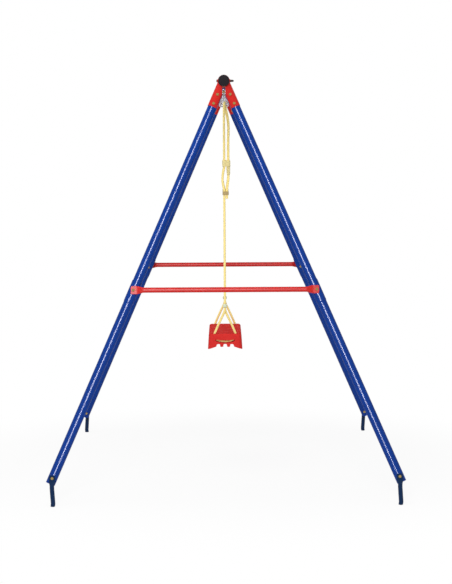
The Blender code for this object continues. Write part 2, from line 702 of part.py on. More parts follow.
def build_bush(shop, end, y, half):
    name = f"hanger_bush_{end}"
    inner = PIN_RADIUS + FIT
    profile = [(BUSH_RADIUS, half), (BUSH_RADIUS, -half), (inner, -half), (inner, half)]
    mesh = turned_mesh(name, profile, True)
    bush = shop.part(name, mesh, shop.nylon, None, (0, y, PIVOT_HEIGHT), ALONG_Y)
    turn(bush, SMALL_SIDES)


def build_link(shop, end, sign):
    """The swinging link: a barrel on the pin, a neck, and a lower eye that faces along X."""
    y = sign * ROPE_Y
    half = HANGER_GAP / 2 - FIT
    name = f"swing_link_{end}"
    barrel = cylinder_mesh(name, BARREL_RADIUS, 2 * half, SMALL_SIDES)
    link = shop.part(name, barrel, shop.steel, None, (0, y, PIVOT_HEIGHT), ALONG_Y)
    neck = box_mesh("neck", (LINK_EYE_THICKNESS, LINK_NECK, LINK_LENGTH))
    place = (0, y, PIVOT_HEIGHT - LINK_LENGTH / 2)
    combine(link, shop.cutter(f"add_neck_{end}", neck, None, place), "UNION")
    eye = cylinder_mesh("eye", LINK_EYE_RADIUS, LINK_EYE_THICKNESS + 0.0004, SMALL_SIDES)
    place = (0, y, EYE_HEIGHT)
    combine(link, shop.cutter(f"add_eye_{end}", eye, None, place, ALONG_X), "UNION")
    bore = cylinder_mesh("eye_bore", LINK_EYE_BORE, 4 * LINK_EYE_THICKNESS, SMALL_SIDES)
    combine(link, shop.cutter(f"cut_eye_{end}", bore, None, place, ALONG_X), "DIFFERENCE")
    bore = cylinder_mesh("bush_bore", BUSH_RADIUS + FIT, 4 * half, SMALL_SIDES)
    place = (0, y, PIVOT_HEIGHT)
    combine(link, shop.cutter(f"cut_barrel_{end}", bore, None, place, ALONG_Y), "DIFFERENCE")
    build_bush(shop, end, y, half)


def arc(centre, radius, start, stop, steps):
    """Points of an arc in the XZ plane, angles in degrees from +X towards +Z."""
    return [
        (
            centre[0] + radius * math.cos(math.radians(start + (stop - start) * i / steps)),
            centre[1] + radius * math.sin(math.radians(start + (stop - start) * i / steps)),
        )
        for i in range(steps + 1)
    ]


def tube_mesh(name, points, radius, cyclic=False, resolution=2):
    """A round bar or rope along the points, as one welded mesh with filled ends."""
    curve = bpy.data.curves.new(name, "CURVE")
    curve.dimensions = "3D"
    curve.bevel_depth = radius
    curve.bevel_resolution = resolution
    curve.use_fill_caps = not cyclic
    spline = curve.splines.new("POLY")
    spline.points.add(len(points) - 1)
    for target, point in zip(spline.points, points):
        target.co = (*point, 1)
    spline.use_cyclic_u = cyclic
    guide = bpy.data.objects.new(name, curve)
    bpy.context.scene.collection.objects.link(guide)
    drawn = guide.evaluated_get(bpy.context.evaluated_depsgraph_get())
    mesh = bpy.data.meshes.new_from_object(drawn)
    build = bmesh.new()
    build.from_mesh(mesh)
    bmesh.ops.remove_doubles(build, verts=build.verts, dist=0.00001)
    bmesh.ops.recalc_face_normals(build, faces=build.faces)
    build.to_mesh(mesh)
    build.free()
    bpy.data.objects.remove(guide, do_unlink=True)
    bpy.data.curves.remove(curve)
    return mesh


def build_ring(shop, end, sign):
    """A triangular ring of round wire, point up in the link's eye, flat side down for the rope."""
    half = RING_WIDTH / 2 - WIRE_RADIUS
    slope = math.degrees(math.atan2(RING_TOP - RING_BASE, half))
    low = RING_BASE + RING_CORNER
    high = RING_TOP - RING_CORNER
    outline = arc((half - RING_CORNER, low), RING_CORNER, -90, 90 - slope / 2 + 5, 4)
    outline += arc((0, high), RING_CORNER, 90 - slope / 2 - 8, 90 + slope / 2 + 8, 6)
    outline += arc((-half + RING_CORNER, low), RING_CORNER, 85 + slope / 2, 270, 4)
    points = [(x, sign * ROPE_Y, z) for x, z in outline]
    name = f"triangle_ring_{end}"
    ring = shop.part(name, tube_mesh(name, points, WIRE_RADIUS, True), shop.steel)
    finish_mesh(ring, 50)


def smooth_route(points, spacing):
    """Points about `spacing` apart on a smooth curve through the route's own points."""
    route = [Vector(p) for p in points]
    ends = [2 * route[0] - route[1], *route, 2 * route[-1] - route[-2]]
    result = []
    for a, b, c, d in zip(ends, ends[1:], ends[2:], ends[3:]):
        steps = max(1, round((c - b).length / spacing))
        for i in range(steps):
            t = i / steps
            bend = 2 * a - 5 * b + 4 * c - d
            twist = 3 * b - a - 3 * c + d
            result.append(0.5 * (2 * b + (c - a) * t + bend * t**2 + twist * t**3))
    return [*result, route[-1]]


def main_rope_route(y):
    """Up from the bead, over the ring's flat side, and down again as the tail beside it."""
    turn_points = [
        (
            0.0005 + 0.005 * i / 8,
            y - TURN_RADIUS * math.cos(math.pi * i / 8),
            RING_BASE + TURN_RADIUS * math.sin(math.pi * i / 8),
        )
        for i in range(9)
    ]
    top = RING_BASE
    low_span = CLIP_HEIGHT - ROPE_FOOT
    return [
        (0, y, ROPE_FOOT),
        (0, y, ROPE_FOOT + low_span * 0.2),
        (0, y, ROPE_FOOT + low_span * 0.5),
        (0, y, ROPE_FOOT + low_span * 0.8),
        (0, y, CLIP_HEIGHT),
        (0, y, CLIP_HEIGHT + CLIP_LENGTH * 0.7),
        (-0.0055, y, CLIP_HEIGHT + CLIP_DROP * 0.28),
        (-0.0080, y, CLIP_HEIGHT + CLIP_DROP * 0.47),
        (-0.0050, y, CLIP_HEIGHT + CLIP_DROP * 0.68),
        (0, y, ADJUSTER_HEIGHT - ADJUSTER_LENGTH * 0.65),
        (0, y, ADJUSTER_HEIGHT),
        (0, y, top - ADJUSTER_DROP * 0.66),
        (0, y - TURN_RADIUS * 0.25, top - ADJUSTER_DROP * 0.47),
        (0, y - TURN_RADIUS * 0.8, top - ADJUSTER_DROP * 0.23),
        (0.0003, y - TURN_RADIUS, top - 0.020),
        *turn_points,
        (0.0085, y + TURN_RADIUS, top - 0.020),
        (0.0165, y + TURN_RADIUS * 0.8, top - ADJUSTER_DROP * 0.21),
        (TAIL_OFFSET + 0.0015, y + TURN_RADIUS * 0.3, top - ADJUSTER_DROP * 0.36),
        (TAIL_OFFSET + 0.0010, y, top - ADJUSTER_DROP * 0.49),
        (TAIL_OFFSET, y, top - ADJUSTER_DROP * 0.66),
        (TAIL_OFFSET, y, ADJUSTER_HEIGHT),
        (TAIL_OFFSET, y, ADJUSTER_HEIGHT - CLIP_DROP * 0.45),
        (TAIL_OFFSET - 0.002, y, CLIP_HEIGHT + CLIP_DROP * 0.38),
        (CLIP_OFFSET + 0.001, y, CLIP_HEIGHT + CLIP_DROP * 0.16),
        (CLIP_OFFSET, y, CLIP_HEIGHT),
        (CLIP_OFFSET, y, CLIP_HEIGHT - TAIL_BELOW),
    ]


def seat_rope_route(y):
    """From the bead to one hole, under the deck across the end slot, and back from the other hole.

    The two strands leave the bead one behind the other, as one rope does from the front, and then part.
    """
    start = BEAD_HEIGHT - BEAD_RADIUS * math.sin(math.radians(BEAD_CUT)) - FIT
    half = ROPE_HOLE_SPACING / 2
    deck = SEAT_TOP_HEIGHT
    side = [
        (0, STRAND_OFFSET, start),
        (0.0004, STRAND_OFFSET, start - 0.008),
        (0.0024, 0.0050, start - 0.017),
        (0.0060, 0.0030, start - 0.026),
        (0.0108, 0.0010, start - 0.036),
        (half - 0.018, 0, deck + 0.041),
        (half - 0.003, 0, deck + 0.006),
        (half + 0.0012, 0, deck - 0.010),
        (half - 0.0010, 0, deck - 0.0175),
        (half - 0.0085, 0, deck - 0.0255),
        (half - 0.0190, 0, deck - 0.0300),
        (half - 0.0330, 0, deck - 0.0330),
    ]
    right = [(x, y + depth, z) for x, depth, z in side]
    left = [(-x, y - depth, z) for x, depth, z in side]
    return [*left, (0, y, deck - 0.0345), *right[::-1]]


def build_ropes(shop, end, sign):
    y = sign * ROPE_Y
    for name, route, spacing in (
        (f"main_rope_{end}", main_rope_route(y), 0.03),
        (f"seat_rope_{end}", seat_rope_route(y), 0.012),
    ):
        mesh = tube_mesh(name, smooth_route(route, spacing), ROPE_RADIUS)
        finish_mesh(shop.part(name, mesh, shop.rope), 60)


def build_bead(shop, end, sign):
    """The moulded ball where the rope divides, flattened a little under the two strands."""
    name = f"rope_bead_{end}"
    angles = [90, 60, 30, 0, -30, -BEAD_CUT]
    profile = [
        (BEAD_RADIUS * math.cos(math.radians(a)), BEAD_RADIUS * math.sin(math.radians(a)))
        for a in angles
    ]
    profile[0] = (0, BEAD_RADIUS)
    profile.append((0, profile[-1][1]))
    mesh = turned_mesh(name, profile)
    turn(shop.part(name, mesh, shop.tan, None, (0, sign * ROPE_Y, BEAD_HEIGHT)), 12)


def build_rope_block(shop, name, y, sizes, material):
    """A moulded block with two holes side by side, for the rope and its tail."""
    level, length, wall, offset = sizes
    hole = ROPE_RADIUS + ROPE_FIT
    half_deep = hole + wall
    half_wide = offset / 2 + half_deep
    edge = wall * 0.5
    rings = []
    for z, inset in (
        (-length / 2, edge),
        (-length / 2 + edge, 0),
        (length / 2 - edge, 0),
        (length / 2, edge),
    ):
        centre = Vector((0, 0, z))
        wide, deep = half_wide - inset, half_deep - inset
        rings.append(ring_of(centre, Vector((1, 0, 0)), Vector((0, 1, 0)), wide, deep, SMALL_SIDES))
    block = shop.part(name, loft_mesh(name, rings), material, None, (offset / 2, y, level))
    for i, x in enumerate((0, offset)):
        drill = cylinder_mesh("rope_hole", hole, 3 * length, 12)
        cutter = shop.cutter(f"cut_{name}_{i}", drill, None, (x, y, level))
        combine(block, cutter, "DIFFERENCE")
    finish_mesh(block, 40)


def rounded_rectangle(half_x, half_y, corner, level, steps=3):
    points = []
    for quarter, (sx, sy) in enumerate(((1, 1), (-1, 1), (-1, -1), (1, -1))):
        for i in range(steps + 1):
            angle = math.pi / 2 * (quarter + i / steps)
            points.append(Vector((
                sx * (half_x - corner) + corner * math.cos(angle),
                sy * (half_y - corner) + corner * math.sin(angle),
                level,
            )))
    return points


def seat_section(level, inset=0.0):
    """Half width and half length of the seat's outside at a height, less an inset."""
    lean = SEAT_DRAFT * (level - SEAT_BOTTOM) / SEAT_HEIGHT
    return SEAT_WIDTH / 2 - lean - inset, SEAT_LENGTH / 2 - lean - inset


def seat_pockets():
    """The pockets moulded into the underside, as (low x, high x, low y, high y)."""
    wall = SEAT_WALL + SEAT_DRAFT
    half_x = SEAT_WIDTH / 2 - wall
    chamber = ROPE_Y - ROPE_HOLE_DIAMETER / 2 - 0.001 - SEAT_RIB
    inner, outer = (TOOTH_SPACING - TOOTH_WIDTH) / 2, (TOOTH_SPACING + TOOTH_WIDTH) / 2
    rib = SEAT_RIB / 2
    columns = [(-half_x, -outer - rib), (-outer + rib, -inner - rib), (-inner + rib, inner - rib)]
    columns += [(inner + rib, outer - rib), (outer + rib, half_x)]
    pitch = 2 * chamber / (SEAT_CROSS_RIBS + 1)
    rows = [
        (-chamber + pitch * i + (rib if i else 0), -chamber + pitch * (i + 1) - rib)
        for i in range(SEAT_CROSS_RIBS + 1)
    ]
    return [(*column, *row) for column in columns for row in rows]


def end_wall_edge():
    """The scalloped lower edge of an end wall, from the middle out to the skirt tip."""
    middle = SEAT_BOTTOM + SKIRT_ARCH
    tooth_low = middle - TOOTH_DEPTH
    inner, outer = (TOOTH_SPACING - TOOTH_WIDTH) / 2, (TOOTH_SPACING + TOOTH_WIDTH) / 2
    nose = TOOTH_WIDTH * 0.22
    return [
        (0, middle + 0.0010),
        (inner - 0.003, middle),
        (inner, middle - 0.003),
        (inner + nose * 0.4, tooth_low + nose * 0.4),
        (inner + nose, tooth_low),
        (outer - nose, tooth_low),
        (outer - nose * 0.4, tooth_low + nose * 0.4),
        (outer, middle - 0.003),
        (outer + 0.003, middle),
        (NOTCH_EDGE - 0.003, middle - 0.0005),
        (NOTCH_EDGE, middle - 0.004),
        (NOTCH_EDGE + 0.0015, SEAT_BOTTOM + SKIRT_HAUNCH),
        (SEAT_WIDTH / 2 - 0.012, SEAT_BOTTOM + 0.003),
        (SEAT_WIDTH / 2 + 0.002, SEAT_BOTTOM - 0.0005),
    ]


def build_seat(shop):
    """A moulded flat seat: deck and skirt in one shell, ribs below, rope holes and an end slot."""
    levels = [
        (SEAT_BOTTOM, 0.0015),
        (SEAT_BOTTOM + 0.0025, 0),
        (SEAT_TOP_HEIGHT - SEAT_EDGE, 0),
        (SEAT_TOP_HEIGHT - SEAT_EDGE * 0.3, SEAT_EDGE * 0.3),
        (SEAT_TOP_HEIGHT, SEAT_EDGE),
    ]
    rings = [
        rounded_rectangle(*seat_section(level, inset), SEAT_CORNER - inset, level, 4)
        for level, inset in levels
    ]
    seat = shop.part("seat", loft_mesh("seat", rings), shop.seat)
    floor = SEAT_TOP_HEIGHT - SEAT_DECK
    rib_edge = floor - SEAT_RIB_DEPTH
    hollow = [
        rounded_rectangle(*seat_section(level, SEAT_WALL), SEAT_CORNER - SEAT_WALL, level, 4)
        for level in (SEAT_BOTTOM - 0.001, rib_edge)
    ]
    combine(seat, shop.cutter("cut_hollow", loft_mesh("hollow", hollow)), "DIFFERENCE")
    for i, (x0, x1, y0, y1) in enumerate(seat_pockets()):
        size = (x1 - x0, y1 - y0, SEAT_RIB_DEPTH + 0.01)
        place = ((x0 + x1) / 2, (y0 + y1) / 2, floor - size[2] / 2)
        combine(seat, shop.cutter(f"cut_pocket_{i}", box_mesh("pocket", size), None, place), "DIFFERENCE")
    edge = end_wall_edge()
    outline = [(-x, z) for x, z in edge[:0:-1]] + edge
    outline += [(SEAT_WIDTH, SEAT_BOTTOM - 0.02), (-SEAT_WIDTH, SEAT_BOTTOM - 0.02)]
    for end, sign in ENDS.items():
        cut_seat_end(shop, seat, end, sign, outline, floor)
    finish_mesh(seat, 30)


def cut_seat_end(shop, seat, end, sign, outline, floor):
    """The rope chamber, the slot across the end wall, the scalloped edge and the two rope holes."""
    chamber_in = ROPE_Y - ROPE_HOLE_DIAMETER / 2 - 0.001
    wall_in = SEAT_LENGTH / 2 - SEAT_WALL - SEAT_DRAFT
    half_x = SEAT_WIDTH / 2 - SEAT_WALL - SEAT_DRAFT
    size = (2 * half_x, wall_in - chamber_in, SEAT_RIB_DEPTH + 0.01)
    place = (0, sign * (wall_in + chamber_in) / 2, floor - size[2] / 2)
    space = shop.cutter(f"cut_rope_space_{end}", box_mesh("rope_space", size), None, place)
    combine(seat, space, "DIFFERENCE")
    size = (SEAT_RIB, wall_in - chamber_in + 0.002, floor - SADDLE_BOTTOM + 0.001)
    for side, hand in SIDES.items():
        place = (hand * SADDLE_OFFSET, sign * (wall_in + chamber_in) / 2, SADDLE_BOTTOM + size[2] / 2)
        rib = shop.cutter(f"add_saddle_{end}_{side}", box_mesh("saddle", size), None, place)
        combine(seat, rib, "UNION")
    depth = 0.03
    place = (0, sign * (wall_in + depth / 2 - 0.002), 0)
    scallop = prism_mesh("scallop", outline, depth)
    combine(seat, shop.cutter(f"cut_scallop_{end}", scallop, None, place), "DIFFERENCE")
    high = SEAT_TOP_HEIGHT - SLOT_DROP
    half, tall = SLOT_WIDTH / 2, SLOT_HEIGHT
    slot = [
        (half, high - tall * 0.35),
        (half - 0.003, high - tall * 0.1),
        (half - 0.010, high),
        (-half + 0.010, high),
        (-half + 0.003, high - tall * 0.1),
        (-half, high - tall * 0.35),
        (-half + 0.012, high - tall * 0.75),
        (-half + 0.028, high - tall),
        (half - 0.028, high - tall),
        (half - 0.012, high - tall * 0.75),
    ]
    cutter = shop.cutter(f"cut_slot_{end}", prism_mesh("slot", slot, depth), None, place)
    combine(seat, cutter, "DIFFERENCE")
    for side, hand in SIDES.items():
        drill = cylinder_mesh("rope_hole", ROPE_HOLE_DIAMETER / 2, 6 * SEAT_DECK, 12)
        place = (hand * ROPE_HOLE_SPACING / 2, sign * ROPE_Y, SEAT_TOP_HEIGHT)
        combine(seat, shop.cutter(f"cut_rope_{end}_{side}", drill, None, place), "DIFFERENCE")


def build():
    clear_scene()
    shop = Workshop()
    build_beam(shop)
    for end, sign in ENDS.items():
        build_beam_cap(shop, end, sign)
        build_end_frame(shop, end, sign)
        build_hanger(shop, end, sign)
        build_link(shop, end, sign)
        build_ring(shop, end, sign)
        build_ropes(shop, end, sign)
        build_bead(shop, end, sign)
        y = sign * ROPE_Y
        adjuster = (ADJUSTER_HEIGHT, ADJUSTER_LENGTH, ADJUSTER_WALL, TAIL_OFFSET)
        build_rope_block(shop, f"rope_adjuster_{end}", y, adjuster, shop.yellow)
        clip = (CLIP_HEIGHT, CLIP_LENGTH, CLIP_WALL, CLIP_OFFSET)
        build_rope_block(shop, f"tail_clip_{end}", y, clip, shop.tan)
    build_seat(shop)


build()
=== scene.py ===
"""Looks of the toddler swing set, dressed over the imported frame.

Two splayed end frames of powder-coated tube carry a top beam. A moulded seat hangs from it on yellow braided
rope, through pressed hangers and triangular rings. Metres throughout, +Z up, +Y along the beam away from the
camera, +X to the right. The sizes repeat the named values of the part's own source.
"""

from __future__ import annotations

import json
import logging
import math
from dataclasses import dataclass
from enum import Enum
from functools import cache
from itertools import pairwise, product

import bmesh
import bpy
from mathutils import Matrix, Vector

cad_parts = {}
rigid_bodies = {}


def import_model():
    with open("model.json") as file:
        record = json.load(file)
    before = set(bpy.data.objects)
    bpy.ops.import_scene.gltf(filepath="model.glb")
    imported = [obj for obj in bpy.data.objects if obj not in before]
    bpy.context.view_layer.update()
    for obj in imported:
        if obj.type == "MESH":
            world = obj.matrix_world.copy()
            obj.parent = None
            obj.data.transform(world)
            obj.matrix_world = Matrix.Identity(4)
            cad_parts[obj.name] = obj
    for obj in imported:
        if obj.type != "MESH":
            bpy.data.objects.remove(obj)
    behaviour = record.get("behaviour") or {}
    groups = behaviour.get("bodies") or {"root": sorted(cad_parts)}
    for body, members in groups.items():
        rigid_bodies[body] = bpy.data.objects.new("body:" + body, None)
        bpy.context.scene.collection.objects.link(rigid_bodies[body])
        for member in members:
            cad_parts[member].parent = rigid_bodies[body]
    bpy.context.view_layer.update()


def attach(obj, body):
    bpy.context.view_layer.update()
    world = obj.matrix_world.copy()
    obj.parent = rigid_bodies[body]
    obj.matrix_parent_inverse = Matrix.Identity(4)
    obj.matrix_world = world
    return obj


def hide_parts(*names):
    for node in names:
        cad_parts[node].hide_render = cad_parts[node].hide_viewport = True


LOG = logging.getLogger("swing_set")

Point = tuple[float, float, float]
Profile = list[tuple[float, float]]
Ring = list[Vector]
Item = bpy.types.Object
Tree = bpy.types.NodeTree
Node = bpy.types.Node
Socket = bpy.types.NodeSocket

FIT = 0.0003  # between pieces that touch
SAME = 0.000002  # points closer than this are one
POINT = 0.000001  # radius that closes a turned piece on its axis
ALONG_Y = Matrix.Rotation(-math.pi / 2, 4, "X")  # turns +Z to +Y
ALONG_X = Matrix.Rotation(math.pi / 2, 4, "Y")  # turns +Z to +X
ALONG_Z = Matrix.Rotation(math.pi / 2, 4, "X")  # turns a prism's XZ outline to XY, and its depth to Z


class Way(Enum):
    """One of two opposite directions."""

    def __init__(self, tag: str, sign: int) -> None:
        """Takes the value apart: the word in the node names, and -1 or 1 along the axis."""
        self.tag = tag
        self.sign = sign


class End(Way):
    """The ends of the set along the beam, the camera's end first."""

    FRONT = ("front", -1)
    BACK = ("back", 1)


class Side(Way):
    """Left and right as the camera sees them."""

    LEFT = ("left", -1)
    RIGHT = ("right", 1)


class Join(Enum):
    """What a Boolean does with its tool."""

    ADD = "UNION"
    CUT = "DIFFERENCE"


# ---- Finishes


def srgb(code: str) -> tuple[float, float, float, float]:
    """Turns a hex colour as seen on screen into Blender's linear values.

    Args:
        code: Six hex digits after a hash sign.

    Returns:
        Linear red, green and blue, and an alpha of 1.
    """
    parts = [int(code[i : i + 2], 16) / 255 for i in (1, 3, 5)]
    linear = [c / 12.92 if c <= 0.04045 else ((c + 0.055) / 1.055) ** 2.4 for c in parts]
    return (*linear, 1.0)


def add_node(
    tree: Tree, kind: str, settings: dict[str, object] | None = None, links: dict[str, Socket] | None = None
) -> Node:
    """Adds a node with its settings and incoming links.

    Args:
        tree: The node tree.
        kind: The node's type name.
        settings: Attributes by name, or input values by socket name or index.
        links: Output sockets to link, by input name or index.

    Returns:
        The new node.
    """
    node = tree.nodes.new(kind)
    for name, value in (settings or {}).items():
        if hasattr(node, name):
            setattr(node, name, value)
        else:
            node.inputs[int(name) if name.isdigit() else name].default_value = value
    for name, socket in (links or {}).items():
        tree.links.new(socket, node.inputs[int(name) if name.isdigit() else name])
    return node


@dataclass(frozen=True)
class Finish:
    """What finishes share: the record's slot, hex colours, the shader's plain values, patches and relief."""

    name: str
    slot: str
    colour: str
    shade: str
    roughness: float
    metallic: float = 0.0
    coat: float = 0.0
    coat_roughness: float = 0.1
    specular: float = 0.5
    patch: float = 0.05  # width of a patch of the shade, in metres
    grain: float = 0.0012  # width of the relief's grain
    detail: float = 2.0
    depth: float = 0.00002  # of the relief

    @cache
    def material(self) -> bpy.types.Material:
        """Makes the material, once.

        Returns:
            The material.
        """
        material = bpy.data.materials.new(self.name)
        material.use_nodes = True
        tree = material.node_tree
        shader = tree.nodes["Principled BSDF"]
        shader.inputs["Metallic"].default_value = self.metallic
        shader.inputs["Roughness"].default_value = self.roughness
        shader.inputs["Coat Weight"].default_value = self.coat
        shader.inputs["Coat Roughness"].default_value = self.coat_roughness
        shader.inputs["Specular IOR Level"].default_value = self.specular
        share, height = self.pattern(tree, shader)
        mix = add_node(tree, "ShaderNodeMix", {"data_type": "RGBA"}, {"0": share})
        mix.inputs[6].default_value = srgb(self.colour)
        mix.inputs[7].default_value = srgb(self.shade)
        tree.links.new(mix.outputs[2], shader.inputs["Base Color"])
        bump = add_node(tree, "ShaderNodeBump", {"Distance": self.depth, "Strength": 1.0}, {"Height": height})
        tree.links.new(bump.outputs["Normal"], shader.inputs["Normal"])
        return material

    def pattern(self, tree: Tree, shader: Node) -> tuple[Socket, Socket]:
        """Drifts colour and roughness a little in patches, with a fine relief.

        Args:
            tree: The material's tree.
            shader: Its Principled shader.

        Returns:
            How much of the shade shows, and the height of the relief, both from 0 to 1.
        """
        place = add_node(tree, "ShaderNodeTexCoord").outputs["Object"]
        patches = {"Scale": 1 / self.patch, "Detail": 3.0}
        share = add_node(tree, "ShaderNodeTexNoise", patches, {"Vector": place}).outputs["Fac"]
        drift = {"From Min": 0.3, "From Max": 0.7, "To Min": self.roughness * 0.85, "To Max": self.roughness * 1.2}
        rough = add_node(tree, "ShaderNodeMapRange", drift, {"Value": share})
        tree.links.new(rough.outputs["Result"], shader.inputs["Roughness"])
        fine = {"Scale": 1 / self.grain, "Detail": self.detail}
        return share, add_node(tree, "ShaderNodeTexNoise", fine, {"Vector": place}).outputs["Fac"]


@dataclass(frozen=True)
class PowderCoat(Finish):
    """Polyester powder coat on steel tube: a deep even colour under a hard gloss skin.

    The real orange peel has a period near 1.5 mm, too fine for the picture, so it is drawn at 5 mm and so
    shallow that the long highlights stay straight.
    """

    patch: float = 0.12
    grain: float = 0.005
    detail: float = 1.0
    depth: float = 0.0000003


@dataclass(frozen=True)
class Plating(Finish):
    """Zinc plate or oxide on turned or pressed steel: a soft metal sheen with a faint bloom of a second tone.

    Its crystals are far under a millimetre. The bloom is drawn in patches of 2 mm, which still shows on a
    10 mm bolt head, and the relief at 0.4 mm.
    """

    metallic: float = 1.0
    patch: float = 0.002
    grain: float = 0.0004
    depth: float = 0.000004


@dataclass(frozen=True)
class Moulding(Finish):
    """Injection-moulded polyethylene or nylon: an even body colour, a waxy gloss and a fine spark texture."""


@dataclass(frozen=True)
class BraidedRope(Finish):
    """Solid-braid polypropylene rope: bright filaments that lie along each strand, and painted shade in the dips.

    The strands are in the mesh. The filaments are drawn along the rope from its own UV map, about 0.6 mm
    wide, because the real ones, under 0.1 mm, would not show. The map's U is one turn round the rope and V
    is metres along it. A strand crosses over every few millimetres; the attribute dip holds painted shade for the dips.
    """

    depth: float = 0.00015
    filaments: tuple[float, float, float] = (52.0, 160.0, 1.0)  # per turn and per metre

    def pattern(self, tree: Tree, shader: Node) -> tuple[Socket, Socket]:
        """Draws the filaments and paints shade into the dips between strands.

        Args:
            tree: The material's tree.
            shader: Its Principled shader.

        Returns:
            How much of the shade shows, and the height of the relief, both from 0 to 1.
        """
        shader.inputs["Sheen Weight"].default_value = 0.3
        shader.inputs["Sheen Roughness"].default_value = 0.4
        across = add_node(tree, "ShaderNodeUVMap", {"uv_map": "rope"}).outputs["UV"]
        stretch = add_node(tree, "ShaderNodeMapping", {"Scale": self.filaments}, {"Vector": across}).outputs["Vector"]
        noise = add_node(tree, "ShaderNodeTexNoise", {"Scale": 1.0, "Detail": 2.0}, {"Vector": stretch})
        thread = noise.outputs["Fac"]
        # The attribute dip is painted shade: how much darker the dips between strands are drawn.
        dip = add_node(tree, "ShaderNodeAttribute", {"attribute_name": "dip"}).outputs["Fac"]
        add = {"operation": "MULTIPLY_ADD", "use_clamp": True, "1": 0.35}
        return add_node(tree, "ShaderNodeMath", add, {"0": thread, "2": dip}).outputs["Value"], thread


# Deep blue, its gloss a soft band down each tube.
BLUE = PowderCoat(
    "gloss_blue_powder_coat", "blue_paint", "#003890", "#002E7C", 0.45, coat=0.28, coat_roughness=0.2, specular=0.0
)
# Nearly black blue, which reads as bare dark steel from afar.
NAVY = PowderCoat(
    "navy_powder_coat", "navy_paint", "#042850", "#032040", 0.4, coat=0.15, coat_roughness=0.12, specular=0.08
)
# Warm red, a little duller than the blue.
RED = PowderCoat(
    "gloss_red_powder_coat", "red_paint", "#CA2C28", "#BA2421", 0.45, coat=0.08, coat_roughness=0.3, specular=0.05
)
# Passivated bolts and pins: pale brass, matt beside the paint.
ZINC = Plating("yellow_zinc_plate", "zinc_plate", "#BEA468", "#8E7A4C", 0.42)
# Clevis, link and ring: cool silver with a soft sheen.
STEEL = Plating("bright_zinc_plate", "bright_zinc", "#D2D2DA", "#A4A4B0", 0.34)
# The lock bolts: a dark, warm metal.
OXIDE = Plating("black_oxide_steel", "zinc_plate", "#4A4542", "#35302F", 0.42)
# The beam's caps: soft black with a grey bloom in the light.
BLACK = Moulding("black_nylon_moulding", "black_plastic", "#262226", "#1C191D", 0.55, depth=0.00004, specular=0.12)
# The seat: bright and waxy, without a hard highlight.
SEAT_RED = Moulding("red_polyethylene_moulding", "red_plastic", "#DA3834", "#C82C2A", 0.7, specular=0.02)
# Small fittings on the rope, each a pale tint of its own.
CREAM = Moulding("cream_nylon_moulding", "yellow_plastic", "#E6D79A", "#DACA88", 0.42)
TAN = Moulding("tan_nylon_moulding", "tan_plastic", "#B8A272", "#A08A5C", 0.45)
PALE = Moulding("pale_green_nylon_moulding", "tan_plastic", "#D9DEC2", "#C6CBAE", 0.42)
# The bushes on the hangers' pins: milky, without a tint.
NYLON = Moulding("natural_nylon", "white_nylon", "#E4E2D8", "#D8D6CA", 0.5)
# Pale yellow on the strands' backs; the golden second tone also carries the painted shade in the dips.
YELLOW = BraidedRope("braided_polypropylene", "yellow_rope", "#FFEC9C", "#E6C668", 0.6, specular=0.25)


# ---- The modelling bench


